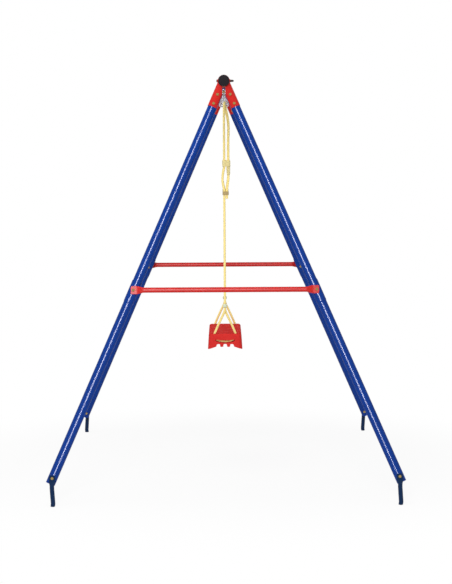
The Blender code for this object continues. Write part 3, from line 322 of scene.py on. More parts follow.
class Bench:
    """Blender's modelling operators, each run on a clean selection, and what finishes a piece."""

    @staticmethod
    def hold(*items: Item) -> None:
        """Deselects everything, then selects the given objects and makes the first active.

        Args:
            items: The objects to work on, if any.
        """
        bpy.ops.object.select_all(action="DESELECT")
        for item in items:
            item.select_set(True)
        if items:
            bpy.context.view_layer.objects.active = items[0]

    @staticmethod
    def open(item: Item) -> None:
        """Goes into edit mode with the whole mesh selected.

        Args:
            item: The object to edit.
        """
        Bench.hold(item)
        bpy.ops.object.mode_set(mode="EDIT")
        bpy.ops.mesh.select_all(action="SELECT")

    @staticmethod
    def close(merge: float = SAME) -> None:
        """Merges doubles, turns the faces outwards and leaves edit mode.

        Args:
            merge: How close two points are made one, in metres.
        """
        bpy.ops.mesh.select_all(action="SELECT")
        bpy.ops.mesh.remove_doubles(threshold=merge)
        bpy.ops.mesh.normals_make_consistent(inside=False)
        bpy.ops.object.mode_set(mode="OBJECT")

    @staticmethod
    def fresh(name: str) -> Item:
        """Names the object that an operator just added, and returns it."""
        bpy.context.object.name = name
        return bpy.context.object

    @staticmethod
    def settle(item: Item, place: Matrix | None = None) -> Item:
        """Moves a piece to its place and writes that place into its mesh.

        Args:
            item: The piece.
            place: Where it goes, or None to leave it.

        Returns:
            The same piece, its object at the origin.
        """
        Bench.hold(item)
        if place is not None:
            item.matrix_world = place @ item.matrix_world
        bpy.ops.object.transform_apply(location=True, rotation=True, scale=True)
        return item

    @staticmethod
    def turned(name: str, profile: Profile, sides: int = 48, closed: bool = False) -> Item:
        """Extrudes a circle from station to station along Z.

        Args:
            name: The piece's name.
            profile: Radius and height of each station, down the outer side.
            sides: Sides of the circle.
            closed: Whether the last station meets the first, as on a tube.

        Returns:
            The turned piece.
        """
        stations = [(max(radius, POINT), height) for radius, height in profile]
        if closed:
            stations.append(stations[0])
        Bench.hold()
        radius, height = stations[0]
        bpy.ops.mesh.primitive_circle_add(vertices=sides, radius=radius, location=(0, 0, height))
        item = Bench.fresh(name)
        Bench.open(item)
        for (here, low), (there, high) in pairwise(stations):
            bpy.ops.mesh.extrude_region_move(TRANSFORM_OT_translate={"value": (0, 0, high - low)})
            grow = there / here
            if abs(grow - 1) > 1e-9:
                bpy.ops.transform.resize(value=(grow, grow, 1), center_override=(0, 0, high))
        Bench.close()
        return Bench.settle(item)

    @staticmethod
    def rod(name: str, radius: float, length: float, place: Matrix, sides: int = 32) -> Item:
        """Adds a cylinder, mostly as a Boolean's tool.

        Args:
            name: The piece's name.
            radius: Its radius.
            length: Its length along its own Z.
            place: Where its middle goes.
            sides: Its sides.

        Returns:
            The cylinder, settled.
        """
        Bench.hold()
        bpy.ops.mesh.primitive_cylinder_add(vertices=sides, radius=radius, depth=length)
        return Bench.settle(Bench.fresh(name), place)

    @staticmethod
    def block(name: str, low: Point, high: Point) -> Item:
        """Adds a box between two corners.

        Args:
            name: The piece's name.
            low: Its lowest corner.
            high: Its highest corner.

        Returns:
            The box, settled.
        """
        Bench.hold()
        bpy.ops.mesh.primitive_cube_add(size=1, location=[(a + b) / 2 for a, b in zip(low, high)])
        item = Bench.fresh(name)
        item.scale = [b - a for a, b in zip(low, high)]
        return Bench.settle(item)

    @staticmethod
    def prism(name: str, outline: Profile, depth: float) -> Item:
        """Fills an outline in the XZ plane and extrudes it along Y, both ways alike.

        Args:
            name: The piece's name.
            outline: Its corners as (x, z).
            depth: Its whole depth.

        Returns:
            The prism.
        """
        Bench.hold()
        bpy.ops.mesh.primitive_circle_add(vertices=len(outline), radius=1, fill_type="NGON")
        item = Bench.fresh(name)
        for vertex, (x, z) in zip(item.data.vertices, outline):
            vertex.co = (x, -depth / 2, z)
        Bench.open(item)
        bpy.ops.mesh.extrude_region_move(TRANSFORM_OT_translate={"value": (0, depth, 0)})
        Bench.close()
        return item

    @staticmethod
    def loft(name: str, rings: list[Ring], caps: bool = True) -> Item:
        """Skins rings of points, for sections that change from round to flat.

        Args:
            name: The piece's name.
            rings: Rings with the same number of points.
            caps: Whether both ends are closed.

        Returns:
            The piece.
        """
        Bench.hold()
        bpy.ops.mesh.primitive_grid_add(x_subdivisions=len(rings[0]), y_subdivisions=len(rings) - 1, size=1)
        item = Bench.fresh(name)
        for vertex, point in zip(item.data.vertices, [p for ring in rings for p in [*ring, ring[0]]]):
            vertex.co = point
        Bench.open(item)
        bpy.ops.mesh.remove_doubles(threshold=SAME)
        if caps:
            bpy.ops.mesh.fill_holes(sides=0)
        Bench.close()
        return item

    @staticmethod
    def modify(item: Item, kind: str, settings: dict[str, object]) -> Item:
        """Adds a modifier with its settings and applies it.

        Args:
            item: The piece.
            kind: The modifier's type name.
            settings: Its attributes by name.

        Returns:
            The same piece.
        """
        Bench.hold(item)
        change = item.modifiers.new("change", kind)
        for name, value in settings.items():
            setattr(change, name, value)
        bpy.ops.object.modifier_apply(modifier=change.name)
        return item

    @staticmethod
    def combine(item: Item, tool: Item, join: Join = Join.CUT) -> Item:
        """Adds or cuts with a Boolean and clears the tool away.

        Args:
            item: The piece to change.
            tool: The tool, which is used up.
            join: Whether it adds or cuts.

        Returns:
            The changed piece.
        """
        Bench.modify(item, "BOOLEAN", {"operation": join.value, "solver": "EXACT", "object": tool})
        Bench.discard(tool)
        return item

    @staticmethod
    def clean(item: Item, merge: float) -> Item:
        """Takes out what Booleans leave: slivers, short edges and needless splits of flat faces.

        Args:
            item: The piece.
            merge: Edges shorter than this are closed up, in metres.

        Returns:
            The same piece.
        """
        Bench.open(item)
        bpy.ops.mesh.dissolve_degenerate(threshold=merge / 10)
        bpy.ops.mesh.dissolve_limited(angle_limit=math.radians(0.5))
        Bench.close(merge)
        return item

    @staticmethod
    def soften(item: Item, width: float, segments: int, degrees: float) -> Item:
        """Rounds edges sharper than so many degrees, by a width in metres and with so many faces across."""
        size = {"width": width, "segments": segments}
        return Bench.modify(item, "BEVEL", {**size, "limit_method": "ANGLE", "angle_limit": math.radians(degrees)})

    @staticmethod
    def join(items: list[Item], name: str) -> Item:
        """Makes several meshes one object.

        Args:
            items: The meshes.
            name: The object's name.

        Returns:
            The joined object.
        """
        Bench.hold(*items)
        bpy.ops.object.join()
        items[0].name = name
        return items[0]

    @staticmethod
    def copy(item: Item, name: str, place: Matrix) -> Item:
        """Copies a piece with its own mesh to a new place.

        Args:
            item: The piece to copy.
            name: The copy's name.
            place: The move from the first piece to the copy.

        Returns:
            The copy, settled.
        """
        twin = bpy.data.objects.new(name, item.data.copy())
        bpy.context.scene.collection.objects.link(twin)
        return Bench.settle(twin, place)

    @staticmethod
    def discard(*items: Item) -> None:
        """Removes pieces that were only copied or cut with."""
        for item in items:
            bpy.data.objects.remove(item, do_unlink=True)

    @staticmethod
    def finish(item: Item, coat: Finish, body: str, node: str = "", degrees: float = 35, weigh: bool = True) -> None:
        """Dresses a piece, hangs it on its body and hides the node that it stands for.

        Args:
            item: The piece.
            coat: Its finish.
            body: The body that it moves with.
            node: The node that it replaces, if any.
            degrees: Edges sharper than this stay sharp in the shading.
            weigh: Whether the shading follows the larger faces, past chamfers and rounded edges.
        """
        Bench.hold(item)
        bpy.ops.object.shade_smooth_by_angle(angle=math.radians(degrees))
        if weigh:
            Bench.modify(item, "WEIGHTED_NORMAL", {"keep_sharp": True})
        item.data.materials.clear()
        item.data.materials.append(coat.material())
        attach(item, body)
        if node:
            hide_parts(node)
        LOG.info("%s on %s, %d faces", item.name, body, len(item.data.polygons))

    @staticmethod
    def fit(item: Item, coat: Finish, body: str, node: str, place: Matrix, degrees: float) -> None:
        """Copies a piece to its place and dresses the copy, which is named after the node it replaces."""
        Bench.finish(Bench.copy(item, f"{node}_dress", place), coat, body, node, degrees)


# ---- Shapes and moves that several pieces use


def stadium(centre: Vector, across: Vector, up: Vector, wide: float, thick: float, sides: int) -> Ring:
    """Points round a flat-sided section: two half circles drawn apart.

    Args:
        centre: Its middle.
        across: Unit vector along its width.
        up: Unit vector along its thickness.
        wide: Half its width.
        thick: Half its thickness.
        sides: Its number of points.

    Returns:
        The points in order.
    """
    spread = max(wide - thick, 0)
    points = []
    for i in range(sides):
        angle = 2 * math.pi * (i + 0.5) / sides
        side = 1 if math.cos(angle) > 0 else -1
        points.append(centre + across * (thick * math.cos(angle) + side * spread) + up * (thick * math.sin(angle)))
    return points


def ease(share: float) -> float:
    """Smooth step from 0 to 1."""
    return share * share * (3 - 2 * share)


def blend(start: float, stop: float, share: float) -> float:
    """The value a share of the way from start to stop."""
    return start + (stop - start) * share


def shift(x: float, y: float, z: float) -> Matrix:
    """The matrix that moves by x, y and z."""
    return Matrix.Translation((x, y, z))


def spread(start: float, stop: float, steps: int) -> list[float]:
    """Even steps from start to stop, both included."""
    return [start + (stop - start) * i / steps for i in range(steps + 1)]


def pipe(outer: float, inner: float, half: float, edge: float) -> Profile:
    """A tube's section to be turned, from its two radii, half its length and the size of its broken rims."""
    wall = [(outer, half - edge), (outer, -half + edge), (outer - edge, -half), (inner, -half), (inner, half)]
    return [*wall, (outer - edge, half)]


# ---- Where things are


@dataclass(frozen=True)
class Layout:
    """The lines that the whole set is built on."""

    beam_height: float = 1.768
    apex_spacing: float = 1.084
    leg_end_height: float = 0.0895
    foot_spacing: float = 1.468
    splay: float = 0.308
    beam_radius: float = 0.0225
    leg_radius: float = 0.020
    socket_wall: float = 0.0013
    crossbar_distance: float = 0.978
    seat_length: float = 0.440
    rope_inset: float = 0.0190

    @property
    def tilt(self) -> float:
        """Lean of an end frame's plane, in radians."""
        return math.atan2(self.splay, self.beam_height - self.leg_end_height)

    @property
    def plane_rise(self) -> float:
        """Height of an end frame, measured in its own plane."""
        return math.hypot(self.beam_height - self.leg_end_height, self.splay)

    @property
    def half_angle(self) -> float:
        """Between a leg and the middle of its frame, in radians."""
        return math.atan2(self.foot_spacing / 2, self.plane_rise)

    @property
    def leg_end(self) -> float:
        """Length of a leg's axis from the beam axis."""
        return math.hypot(self.plane_rise, self.foot_spacing / 2)

    @property
    def socket_radius(self) -> float:
        """Outside of a lower leg's swaged top."""
        return self.leg_radius + FIT + self.socket_wall

    def rope_y(self, end: End) -> float:
        """Where an end's hanger and rope are along the beam."""
        return end.sign * (self.seat_length / 2 - self.rope_inset)

    def plane(self, end: End) -> Matrix:
        """Place of an end frame's plane: its origin on the beam axis, its +Y out of the frame."""
        turn = Matrix.Rotation(0 if end.sign > 0 else math.pi, 4, "Z")
        return turn @ shift(0, self.apex_spacing / 2, self.beam_height) @ Matrix.Rotation(self.tilt, 4, "X")

    def leg(self, end: End, side: Side) -> Matrix:
        """Place of a leg, which runs down its own -Z from the beam axis."""
        return self.plane(end) @ Matrix.Rotation(-side.sign * end.sign * self.half_angle, 4, "Y")

    def on_leg(self, end: End, side: Side, distance: float) -> Vector:
        """A point on a leg's axis, so many metres from the beam axis, in its frame's plane."""
        reach = side.sign * end.sign * distance * math.sin(self.half_angle)
        return Vector((reach, 0, -distance * math.cos(self.half_angle)))


@dataclass
class Assembly:
    """A group of pieces on the shared lines."""

    layout: Layout

    def build(self) -> None:
        """Builds and dresses every piece of the group."""
        raise NotImplementedError


# ---- Top beam


@dataclass
class TopBeam(Assembly):
    """The round top tube and its two push-in caps."""

    wall: float = 0.0018
    overhang: float = 0.034
    edge: float = 0.0004
    cap_radius: float = 0.0245
    flange: float = 0.0045
    dome: float = 0.0025
    plug: float = 0.014

    def cap(self) -> Profile:
        """One cap: a shallow dome with a rolled rim and a ribbed plug.

        Returns:
            Its profile, face up.
        """
        rim, top = self.cap_radius, self.flange + self.dome
        plug = self.layout.beam_radius - self.wall - FIT
        face = [(0, top), (rim * 0.3, top - 0.0001), (rim * 0.62, top - 0.0006), (rim * 0.8, top - 0.0013)]
        face += [
            (rim - 0.0024 + 0.0024 * math.sin(a), self.flange - 0.0014 + 0.0026 * math.cos(a))
            for a in (0, math.pi / 6, math.pi / 3, math.pi / 2)
        ]
        face += [(rim, 0.0006), (rim - 0.0006, 0), (plug, 0)]
        for i in range(3):
            low = -0.003 - 0.0035 * i
            face += [(plug - 0.0006, low + 0.001), (plug, low), (plug - 0.0006, low - 0.001)]
        return face + [(plug - 0.001, -self.plug), (plug - 0.003, -self.plug), (plug - 0.003, 0), (0, 0.0005)]

    def build(self) -> None:
        """Builds the tube and both caps."""
        half, outer = self.layout.apex_spacing / 2 + self.overhang, self.layout.beam_radius
        tube = Bench.turned("beam_tube", pipe(outer, outer - self.wall, half, self.edge), 64, True)
        Bench.settle(tube, shift(0, 0, self.layout.beam_height) @ ALONG_Y)
        Bench.finish(tube, BLUE, "frame", "top_beam")
        for end in End:
            cap = Bench.turned(f"beam_cap_{end.tag}_dress", self.cap())
            place = shift(0, end.sign * (half + FIT), self.layout.beam_height)
            Bench.settle(cap, place @ Matrix.Rotation(-end.sign * math.pi / 2, 4, "X"))
            Bench.finish(cap, BLACK, "frame", f"beam_cap_{end.tag}", 50)


# ---- End frames


@dataclass
class Legs(Assembly):
    """Upper and lower tubes of the four legs."""

    wall: float = 0.0013
    top_clearance: float = 0.0025
    socket_above: float = 0.042
    socket_below: float = 0.050
    socket_taper: float = 0.010
    spigot_below: float = 0.040
    upper_edge: float = 0.0003
    lower_edge: float = 0.0004

    def upper(self) -> Profile:
        """An upper tube, its top rim broken.

        Returns:
            Its profile, down the outer side.
        """
        layout, edge = self.layout, self.upper_edge
        outer, inner = layout.leg_radius, layout.leg_radius - self.wall
        top = -(layout.leg_radius + self.top_clearance) / math.sin(layout.half_angle)
        low = -(layout.crossbar_distance + self.spigot_below)
        return [(outer, top - edge), (outer, low), (inner, low), (inner, top), (outer - edge, top)]

    def lower(self) -> Profile:
        """A lower tube, its top swaged out in one smooth step to take the upper one.

        Returns:
            Its profile, down the outer side.
        """
        layout, edge = self.layout, self.lower_edge
        outer, inner, socket = layout.leg_radius, layout.leg_radius - self.wall, layout.socket_radius
        seam = -(layout.crossbar_distance - self.socket_above)
        full = -(layout.crossbar_distance + self.socket_below)
        swage = [(blend(socket, outer, ease(s)), full - self.socket_taper * s) for s in spread(0, 1, 6)]
        profile = [(socket, seam - edge), *swage, (outer, -layout.leg_end + edge)]
        profile += [(outer - edge, -layout.leg_end), (inner, -layout.leg_end)]
        profile += [(r - self.wall, z) for r, z in swage[::-1]]
        return profile + [(outer + FIT, seam), (socket - edge, seam)]

    def build(self) -> None:
        """Builds all eight tubes."""
        parts = [("upper", self.upper()), ("lower", self.lower())]
        for end, side, (part, profile) in product(End, Side, parts):
            tube = Bench.turned(f"{part}_tube_{end.tag}_{side.tag}", profile, 56, True)
            Bench.settle(tube, self.layout.leg(end, side))
            Bench.finish(tube, BLUE, "frame", f"{part}_leg_{end.tag}_{side.tag}", 50)


@dataclass
class Brackets(Assembly):
    """The red brackets: a hub round the beam and two pressed sleeves down the legs."""

    hub_wall: float = 0.0025
    hub_length: float = 0.050
    sleeve_wall: float = 0.0014
    sleeve_length: float = 0.125
    opening: float = 0.0188
    gap: float = 0.014
    boss_radius: float = 0.0075
    boss_reach: float = 0.0272
    opening_depth: float = 0.1
    beam_bore: float = 0.12
    round_off: float = 0.0006
    arm_twist: float = math.pi / 96  # between the arms' facets, so that none meet edge to edge

    def build(self) -> None:
        """Builds the bracket in its own plane and copies it to both ends."""
        layout, length = self.layout, self.sleeve_length
        hub = layout.beam_radius + FIT + self.hub_wall
        sleeve = layout.leg_radius + FIT + self.sleeve_wall
        half = length / 2
        arms = []
        for hand in (-1, 1):
            twist = Matrix.Rotation(0 if hand < 0 else self.arm_twist, 4, "Z")
            lean = Matrix.Rotation(-hand * layout.half_angle, 4, "Y")
            arms.append(Bench.rod("arm", sleeve, length, lean @ shift(0, 0, -half) @ twist, 48))
        body = Bench.combine(arms[0], arms[1], Join.ADD)
        level = Matrix.Rotation(-layout.tilt, 4, "X") @ ALONG_Y
        Bench.combine(body, Bench.rod("hub", hub, self.hub_length, level, 64), Join.ADD)
        Bench.combine(body, Bench.rod("boss", self.boss_radius, 2 * self.boss_reach, ALONG_X), Join.ADD)
        edge, slope = self.gap / 2, math.tan(layout.half_angle)
        turn = -(edge + self.opening / math.cos(layout.half_angle)) / slope
        low = -1.2 * length
        corners = [(edge, -(hub + self.sleeve_wall)), (edge, turn), (edge + (turn - low) * slope, low)]
        outline = corners + [(-x, z) for x, z in corners[::-1]]
        Bench.combine(body, Bench.prism("opening", outline, self.opening_depth))
        for hand in (-1, 1):
            lean = Matrix.Rotation(-hand * layout.half_angle, 4, "Y")
            place = lean @ shift(0, 0, -half - hub - 3 * self.sleeve_wall)
            Bench.combine(body, Bench.rod("bore", layout.leg_radius + FIT, length, place, 56))
        Bench.combine(body, Bench.rod("beam_bore", layout.beam_radius + FIT, self.beam_bore, level, 64))
        Bench.soften(body, self.round_off, 2, 55)
        both = [(end, Bench.copy(body, f"bracket_{end.tag}", layout.plane(end))) for end in End]
        Bench.discard(body)
        for end, bracket in both:
            Bench.finish(bracket, RED, "frame", f"apex_bracket_{end.tag}", 40)


@dataclass
class Crossbars(Assembly):
    """A red tube across each frame, pressed flat and rounded off at both ends."""

    radius: float = 0.011
    flat_half: float = 0.01725
    thick_half: float = 0.0014
    flat_end: float = 0.0105
    flat_run: float = 0.0125
    taper: float = 0.034

    def build(self) -> None:
        """Builds both bars."""
        layout = self.layout
        reach = layout.crossbar_distance * math.sin(layout.half_angle)
        depth = -layout.crossbar_distance * math.cos(layout.half_angle)
        out = layout.socket_radius + FIT + self.thick_half
        stations = []
        for share in spread(0, 1, 8):
            at = self.flat_end * share**1.6
            wide = self.flat_half * (0.66 + 0.34 * math.sqrt(1 - max(0.0, 1 - 1.6 * share**1.6) ** 2))
            thick = self.thick_half * (0.55 + 0.45 * min(1.0, share * 4))
            stations.append((reach + self.flat_end - at, wide, thick))
        for share in spread(0, 1, 12):
            wide = blend(self.flat_half, self.radius, ease(share))
            thick = blend(self.thick_half, self.radius, ease(share))
            stations.append((reach - self.flat_run - self.taper * share, wide, thick))
        both = [(-x, a, b) for x, a, b in stations] + stations[::-1]
        up, across = Vector((0, 1, 0)), Vector((0, 0, 1))
        rings = [stadium(Vector((x, out, depth)), across, up, a, b, 36) for x, a, b in both]
        for end in End:
            bar = Bench.settle(Bench.loft(f"cross_tube_{end.tag}", rings), layout.plane(end))
            Bench.finish(bar, RED, "frame", f"crossbar_{end.tag}", 40)


@dataclass
class Stakes(Assembly):
    """Round pegs, their tops pressed flat on the legs' outer faces."""

    radius: float = 0.0095
    flat_half: float = 0.0135
    thick_half: float = 0.0015
    bolt_rise: float = 0.0245
    flat_end: float = 0.0125
    flat_run: float = 0.012
    taper: float = 0.022
    straight: float = 0.008
    lean: float = 0.004
    tip_bend: float = 0.0015
    tip_length: float = 0.012
    tip_edge: float = 0.0012
    sides: int = 28

    def rings(self, end: End, side: Side) -> list[Ring]:
        """Sections from the flat top down to the tip, in the frame's plane.

        Args:
            end: Which end frame.
            side: Which side.

        Returns:
            The rings.
        """
        layout = self.layout
        top = layout.on_leg(end, side, layout.leg_end - self.bolt_rise)
        face = layout.leg_radius + FIT
        across, out = Vector((1, 0, 0)), Vector((0, 1, 0))
        rings = []
        for share in (s**1.6 for s in spread(0, 1, 8)):
            centre = Vector((top.x, face + self.thick_half, top.z + self.flat_end * (1 - share)))
            wide = self.flat_half * (0.55 + 0.45 * math.sqrt(1 - (1 - share) ** 2))
            rings.append(stadium(centre, across, out, wide, self.thick_half, self.sides))
        for share in spread(0, 1, 8):
            wide = blend(self.flat_half, self.radius, ease(share))
            deep = blend(self.thick_half, self.radius, ease(share))
            centre = Vector((top.x, face + deep, top.z - self.flat_run - self.taper * share))
            rings.append(stadium(centre, across, out, wide, deep, self.sides))
        level = layout.beam_height + centre.y * math.sin(layout.tilt) + centre.z * math.cos(layout.tilt)
        down = Vector((0, -math.sin(layout.tilt), -math.cos(layout.tilt)))
        flat = Vector((0, math.cos(layout.tilt), -math.sin(layout.tilt)))
        run, end_lean = level - self.straight - self.tip_length, self.tip_bend - self.lean
        marks = [(level - self.straight, 0.0, 1.0)]
        marks += [(self.tip_length + run * (1 - s), -self.lean * s, 1.0) for s in (0.35, 0.7, 1.0)]
        marks += [(self.tip_edge, end_lean, 1.0), (0.0, end_lean, 0.88)]
        for height, aside, share in marks:
            foot = centre + down * (level - height) + across * aside
            rings.append(stadium(foot, across, flat, self.radius * share, self.radius * share, self.sides))
        return rings

    def build(self) -> None:
        """Builds the four pegs."""
        for end, side in product(End, Side):
            peg = Bench.loft(f"peg_{end.tag}_{side.tag}", self.rings(end, side))
            Bench.settle(peg, self.layout.plane(end))
            Bench.finish(peg, NAVY, "frame", f"ground_stake_{end.tag}_{side.tag}", 40)


# ---- Fasteners


@dataclass
class Fasteners(Assembly):
    """Hexagon bolts with washers and nuts, modelled once for each grip and copied."""

    radius: float = 0.003
    flats: float = 0.010
    head: float = 0.004
    nut: float = 0.005
    washer: float = 0.0008
    edge: float = 0.0002
    pitch: float = 0.001
    tail: float = 0.003
    lock_tail: float = 0.010
    last_thread: float = 0.0004
    cap_radius: float = 0.0046
    cap_bore: float = 0.0033
    cap_length: float = 0.0102
    cap_dome: float = 0.0034
    cap_wall: float = 0.0008
    upper_drop: float = 0.0115
    lower_rise: float = 0.014

    def hexagon(self, seat: float, top: float) -> Item:
        """Extrudes a hexagon and takes its corners off at the outer face.

        Args:
            seat: Height of the face that bears.
            top: Height of the outer face.

        Returns:
            The head or nut.
        """
        wide = self.flats / math.sqrt(3)
        lift = top - seat
        profile = [(0, top - lift * 0.1), (wide * 0.5, top - lift * 0.1), (wide * 0.62, top), (wide * 0.86, top)]
        profile += [(wide * 0.97, top - lift * 0.12), (wide, top - lift * 0.22), (wide, seat), (0, seat)]
        return Bench.turned("hexagon", profile if lift > 0 else profile[::-1], 6)

    def bolt(self, outer: float, inner: float, tail: float) -> Item:
        """Makes one bolt along Z, its nut run up.

        Args:
            outer: Height of the face that the head bears on.
            inner: Height of the face that the nut bears on.
            tail: Thread that stands out past the nut.

        Returns:
            The bolt.
        """
        rise, drop = outer + FIT, inner - FIT
        rim, edge, radius = self.flats * 0.62, self.edge, self.radius
        pieces = [self.hexagon(rise + self.washer, rise + self.head), self.hexagon(drop - self.washer, drop - self.nut)]
        for high in (rise + self.washer, drop):
            low = high - self.washer
            ring = [(radius, high), (rim - edge, high), (rim, high - edge), (rim, low), (radius, low)]
            pieces.append(Bench.turned("washer", ring, 32, True))
        level = drop - self.nut
        stop = level - tail
        shank = [(0, rise + self.washer), (radius, rise + self.washer), (radius, level)]
        while level - self.pitch > stop + self.last_thread:
            shank += [(radius * 0.86, level - self.pitch * 0.5), (radius, level - self.pitch)]
            level -= self.pitch
        pieces.append(Bench.turned("shank", [*shank, (radius * 0.75, stop), (0, stop)], 16))
        return Bench.join(pieces, "bolt")

    def thread_cap(self, level: float) -> Item:
        """Turns the domed cap that covers the lock bolt's thread.

        Args:
            level: Height of the nut's outer face.

        Returns:
            The cap, open side up.
        """
        outer, inner, base = self.cap_radius, self.cap_bore, level - self.cap_length
        profile = [(inner, level - FIT), (outer, level - FIT)]
        profile += [(outer * math.cos(a), base + self.cap_dome * (1 - math.sin(a))) for a in (0, 0.5, 1.0, 1.4)]
        profile += [(0, base), (0, base + self.cap_wall), (inner, base + self.cap_wall)]
        return Bench.turned("thread_cap", profile, 24, True)

    def build(self) -> None:
        """Makes the four kinds and fits all eighteen."""
        layout, boss = self.layout, Brackets.boss_reach
        sleeve = layout.leg_radius + FIT + Brackets.sleeve_wall
        upper = (layout.leg_radius + Legs.top_clearance) / math.sin(layout.half_angle) + self.upper_drop
        bracket = self.bolt(sleeve, -sleeve, self.tail)
        across = self.bolt(layout.socket_radius + FIT + 2 * Crossbars.thick_half, -layout.socket_radius, self.tail)
        foot = self.bolt(layout.leg_radius + FIT + 2 * Stakes.thick_half, -layout.leg_radius, self.tail)
        lock = Bench.join([self.bolt(boss, -boss, self.lock_tail), self.thread_cap(-boss - self.nut)], "lock")
        spots = [
            ("bracket_bolt_upper", bracket, upper),
            ("bracket_bolt_lower", bracket, Brackets.sleeve_length - self.lower_rise),
            ("crossbar_bolt", across, layout.crossbar_distance),
            ("foot_bolt", foot, layout.leg_end - Stakes.bolt_rise),
        ]
        for end in End:
            for side, (label, bolt, distance) in product(Side, spots):
                place = layout.plane(end) @ shift(*layout.on_leg(end, side, distance)) @ ALONG_Y
                Bench.fit(bolt, ZINC, "frame", f"{label}_{end.tag}_{side.tag}", place, 30)
            spot = shift(0, end.sign * layout.apex_spacing / 2, layout.beam_height)
            place = spot @ Matrix.Rotation(-math.pi / 2, 4, "Y")
            Bench.fit(lock, OXIDE, "frame", f"beam_lock_bolt_{end.tag}", place, 30)
        Bench.discard(bracket, across, foot, lock)


# ---- Hangers


@dataclass
class Hangers(Assembly):
    """The clevis under the beam, its pin and bush, the swinging link and the triangular ring."""

    width: float = 0.020
    plate: float = 0.003
    gap: float = 0.0116
    drop: float = 0.0127
    stud: float = 0.008
    stud_tail: float = 0.004
    stud_edge: float = 0.0008
    pitch: float = 0.00125
    pin: float = 0.004
    pin_head: float = 0.002
    pin_rim: float = 0.006
    bush_wall: float = 0.0013
    bush_edge: float = 0.0003
    barrel_wall: float = 0.0025
    link: float = 0.024
    eye_radius: float = 0.0085
    eye_bore: float = 0.0055
    eye_thick: float = 0.005
    eye_proud: float = 0.0004
    neck: float = 0.008
    drill: float = 0.03
    round_off: float = 0.0005
    wire: float = 0.003
    wire_sides: int = 20
    ring_width: float = 0.045
    ring_height: float = 0.037
    ring_corner: float = 0.007
    nut_flats: float = 0.013
    nut_height: float = 0.0065
    nut_edge: float = 0.0009

    @property
    def pivot(self) -> float:
        """Height of the pivot pin."""
        return self.layout.beam_height - self.layout.beam_radius - self.drop

    @property
    def ring_top(self) -> float:
        """Height of the wire's middle where the ring hangs in the link's eye.

        Returns:
            The height in metres.
        """
        sag = self.ring_corner - math.sqrt(self.ring_corner**2 - (self.eye_thick / 2 + 4 * FIT) ** 2)
        seat = self.eye_bore * math.cos(math.pi / 16) - self.wire - FIT
        return self.pivot - self.link - seat + sag

    @property
    def ring_base(self) -> float:
        """Height of the wire's middle along the ring's flat side."""
        return self.ring_top - (self.ring_height - 2 * self.wire)

    def clevis(self) -> Item:
        """Presses the U plate, drills its ears and adds the stud.

        Returns:
            The clevis at the middle of the beam.
        """
        under = self.layout.beam_height - self.layout.beam_radius - FIT
        half, outer, bore = self.width / 2, self.gap / 2 + self.plate, self.stud / 2
        arc = spread(0, math.pi, 16)
        curve = [(half * math.cos(a), self.pivot - (half - 0.001) * math.sin(a)) for a in arc]
        body = Bench.prism("clevis", [(half, under), *curve, (-half, under)], 2 * outer)
        low, high = (-0.02, -self.gap / 2, self.pivot - self.width), (0.02, self.gap / 2, under - self.plate)
        Bench.combine(body, Bench.block("slot", low, high))
        place = shift(0, 0, self.pivot) @ ALONG_Y
        Bench.combine(body, Bench.rod("drill", self.pin + FIT, 6 * outer, place))
        Bench.soften(body, self.round_off, 2, 50)
        top = self.layout.beam_height + self.layout.beam_radius + self.nut_height + self.stud_tail
        base = under - self.plate / 2
        profile = [(0, top), (bore - self.stud_edge, top), (bore, top - self.stud_edge)]
        for i in range(8):
            level = top - 0.0014 - i * self.pitch
            profile += [(bore * 0.88, level), (bore, level - 0.0006)]
        return Bench.join([body, Bench.turned("stud", [*profile, (bore, base), (0, base)], 24)], "clevis")

    def swing_link(self) -> Item:
        """Joins barrel, neck and eye and bores them.

        Returns:
            The link at the middle of the beam.
        """
        bush, half = self.pin + FIT + self.bush_wall, self.gap / 2 - FIT
        level, eye = shift(0, 0, self.pivot) @ ALONG_Y, shift(0, 0, self.pivot - self.link) @ ALONG_X
        thin, deep = self.eye_thick / 2, self.neck / 2
        body = Bench.rod("barrel", bush + FIT + self.barrel_wall, 2 * half, level, 40)
        neck = Bench.block("neck", (-thin, -deep, self.pivot - self.link), (thin, deep, self.pivot))
        Bench.combine(body, neck, Join.ADD)
        Bench.combine(body, Bench.rod("eye", self.eye_radius, self.eye_thick + self.eye_proud, eye, 40), Join.ADD)
        Bench.combine(body, Bench.rod("eye_bore", self.eye_bore, self.drill, eye))
        Bench.combine(body, Bench.rod("bush_bore", bush + FIT, self.drill, level))
        return Bench.soften(body, self.round_off, 2, 50)

    def ring(self) -> Item:
        """Bends round wire into a triangle, point up, flat side down.

        Returns:
            The ring at the middle of the beam.
        """
        half, corner = self.ring_width / 2 - self.wire, self.ring_corner
        slope = math.degrees(math.atan2(self.ring_top - self.ring_base, half))
        low, high = self.ring_base + corner, self.ring_top - corner
        bends = [
            (half - corner, low, spread(-90, 95 - slope / 2, 12)),
            (0, high, spread(82 - slope / 2, 98 + slope / 2, 14)),
            (-half + corner, low, spread(85 + slope / 2, 270, 12)),
        ]
        path = [
            Vector((x + corner * math.cos(angle), 0, z + corner * math.sin(angle)))
            for x, z, angles in bends
            for angle in map(math.radians, angles)
        ]
        rings, out = [], Vector((0, 1, 0))
        turns = [2 * math.pi * k / self.wire_sides for k in range(self.wire_sides)]
        for i, point in enumerate(path):
            ahead = (path[(i + 1) % len(path)] - path[i - 1]).normalized()
            side = out.cross(ahead)
            rings.append([point + side * (self.wire * math.cos(a)) + out * (self.wire * math.sin(a)) for a in turns])
        return Bench.loft("ring", [*rings, rings[0]], caps=False)

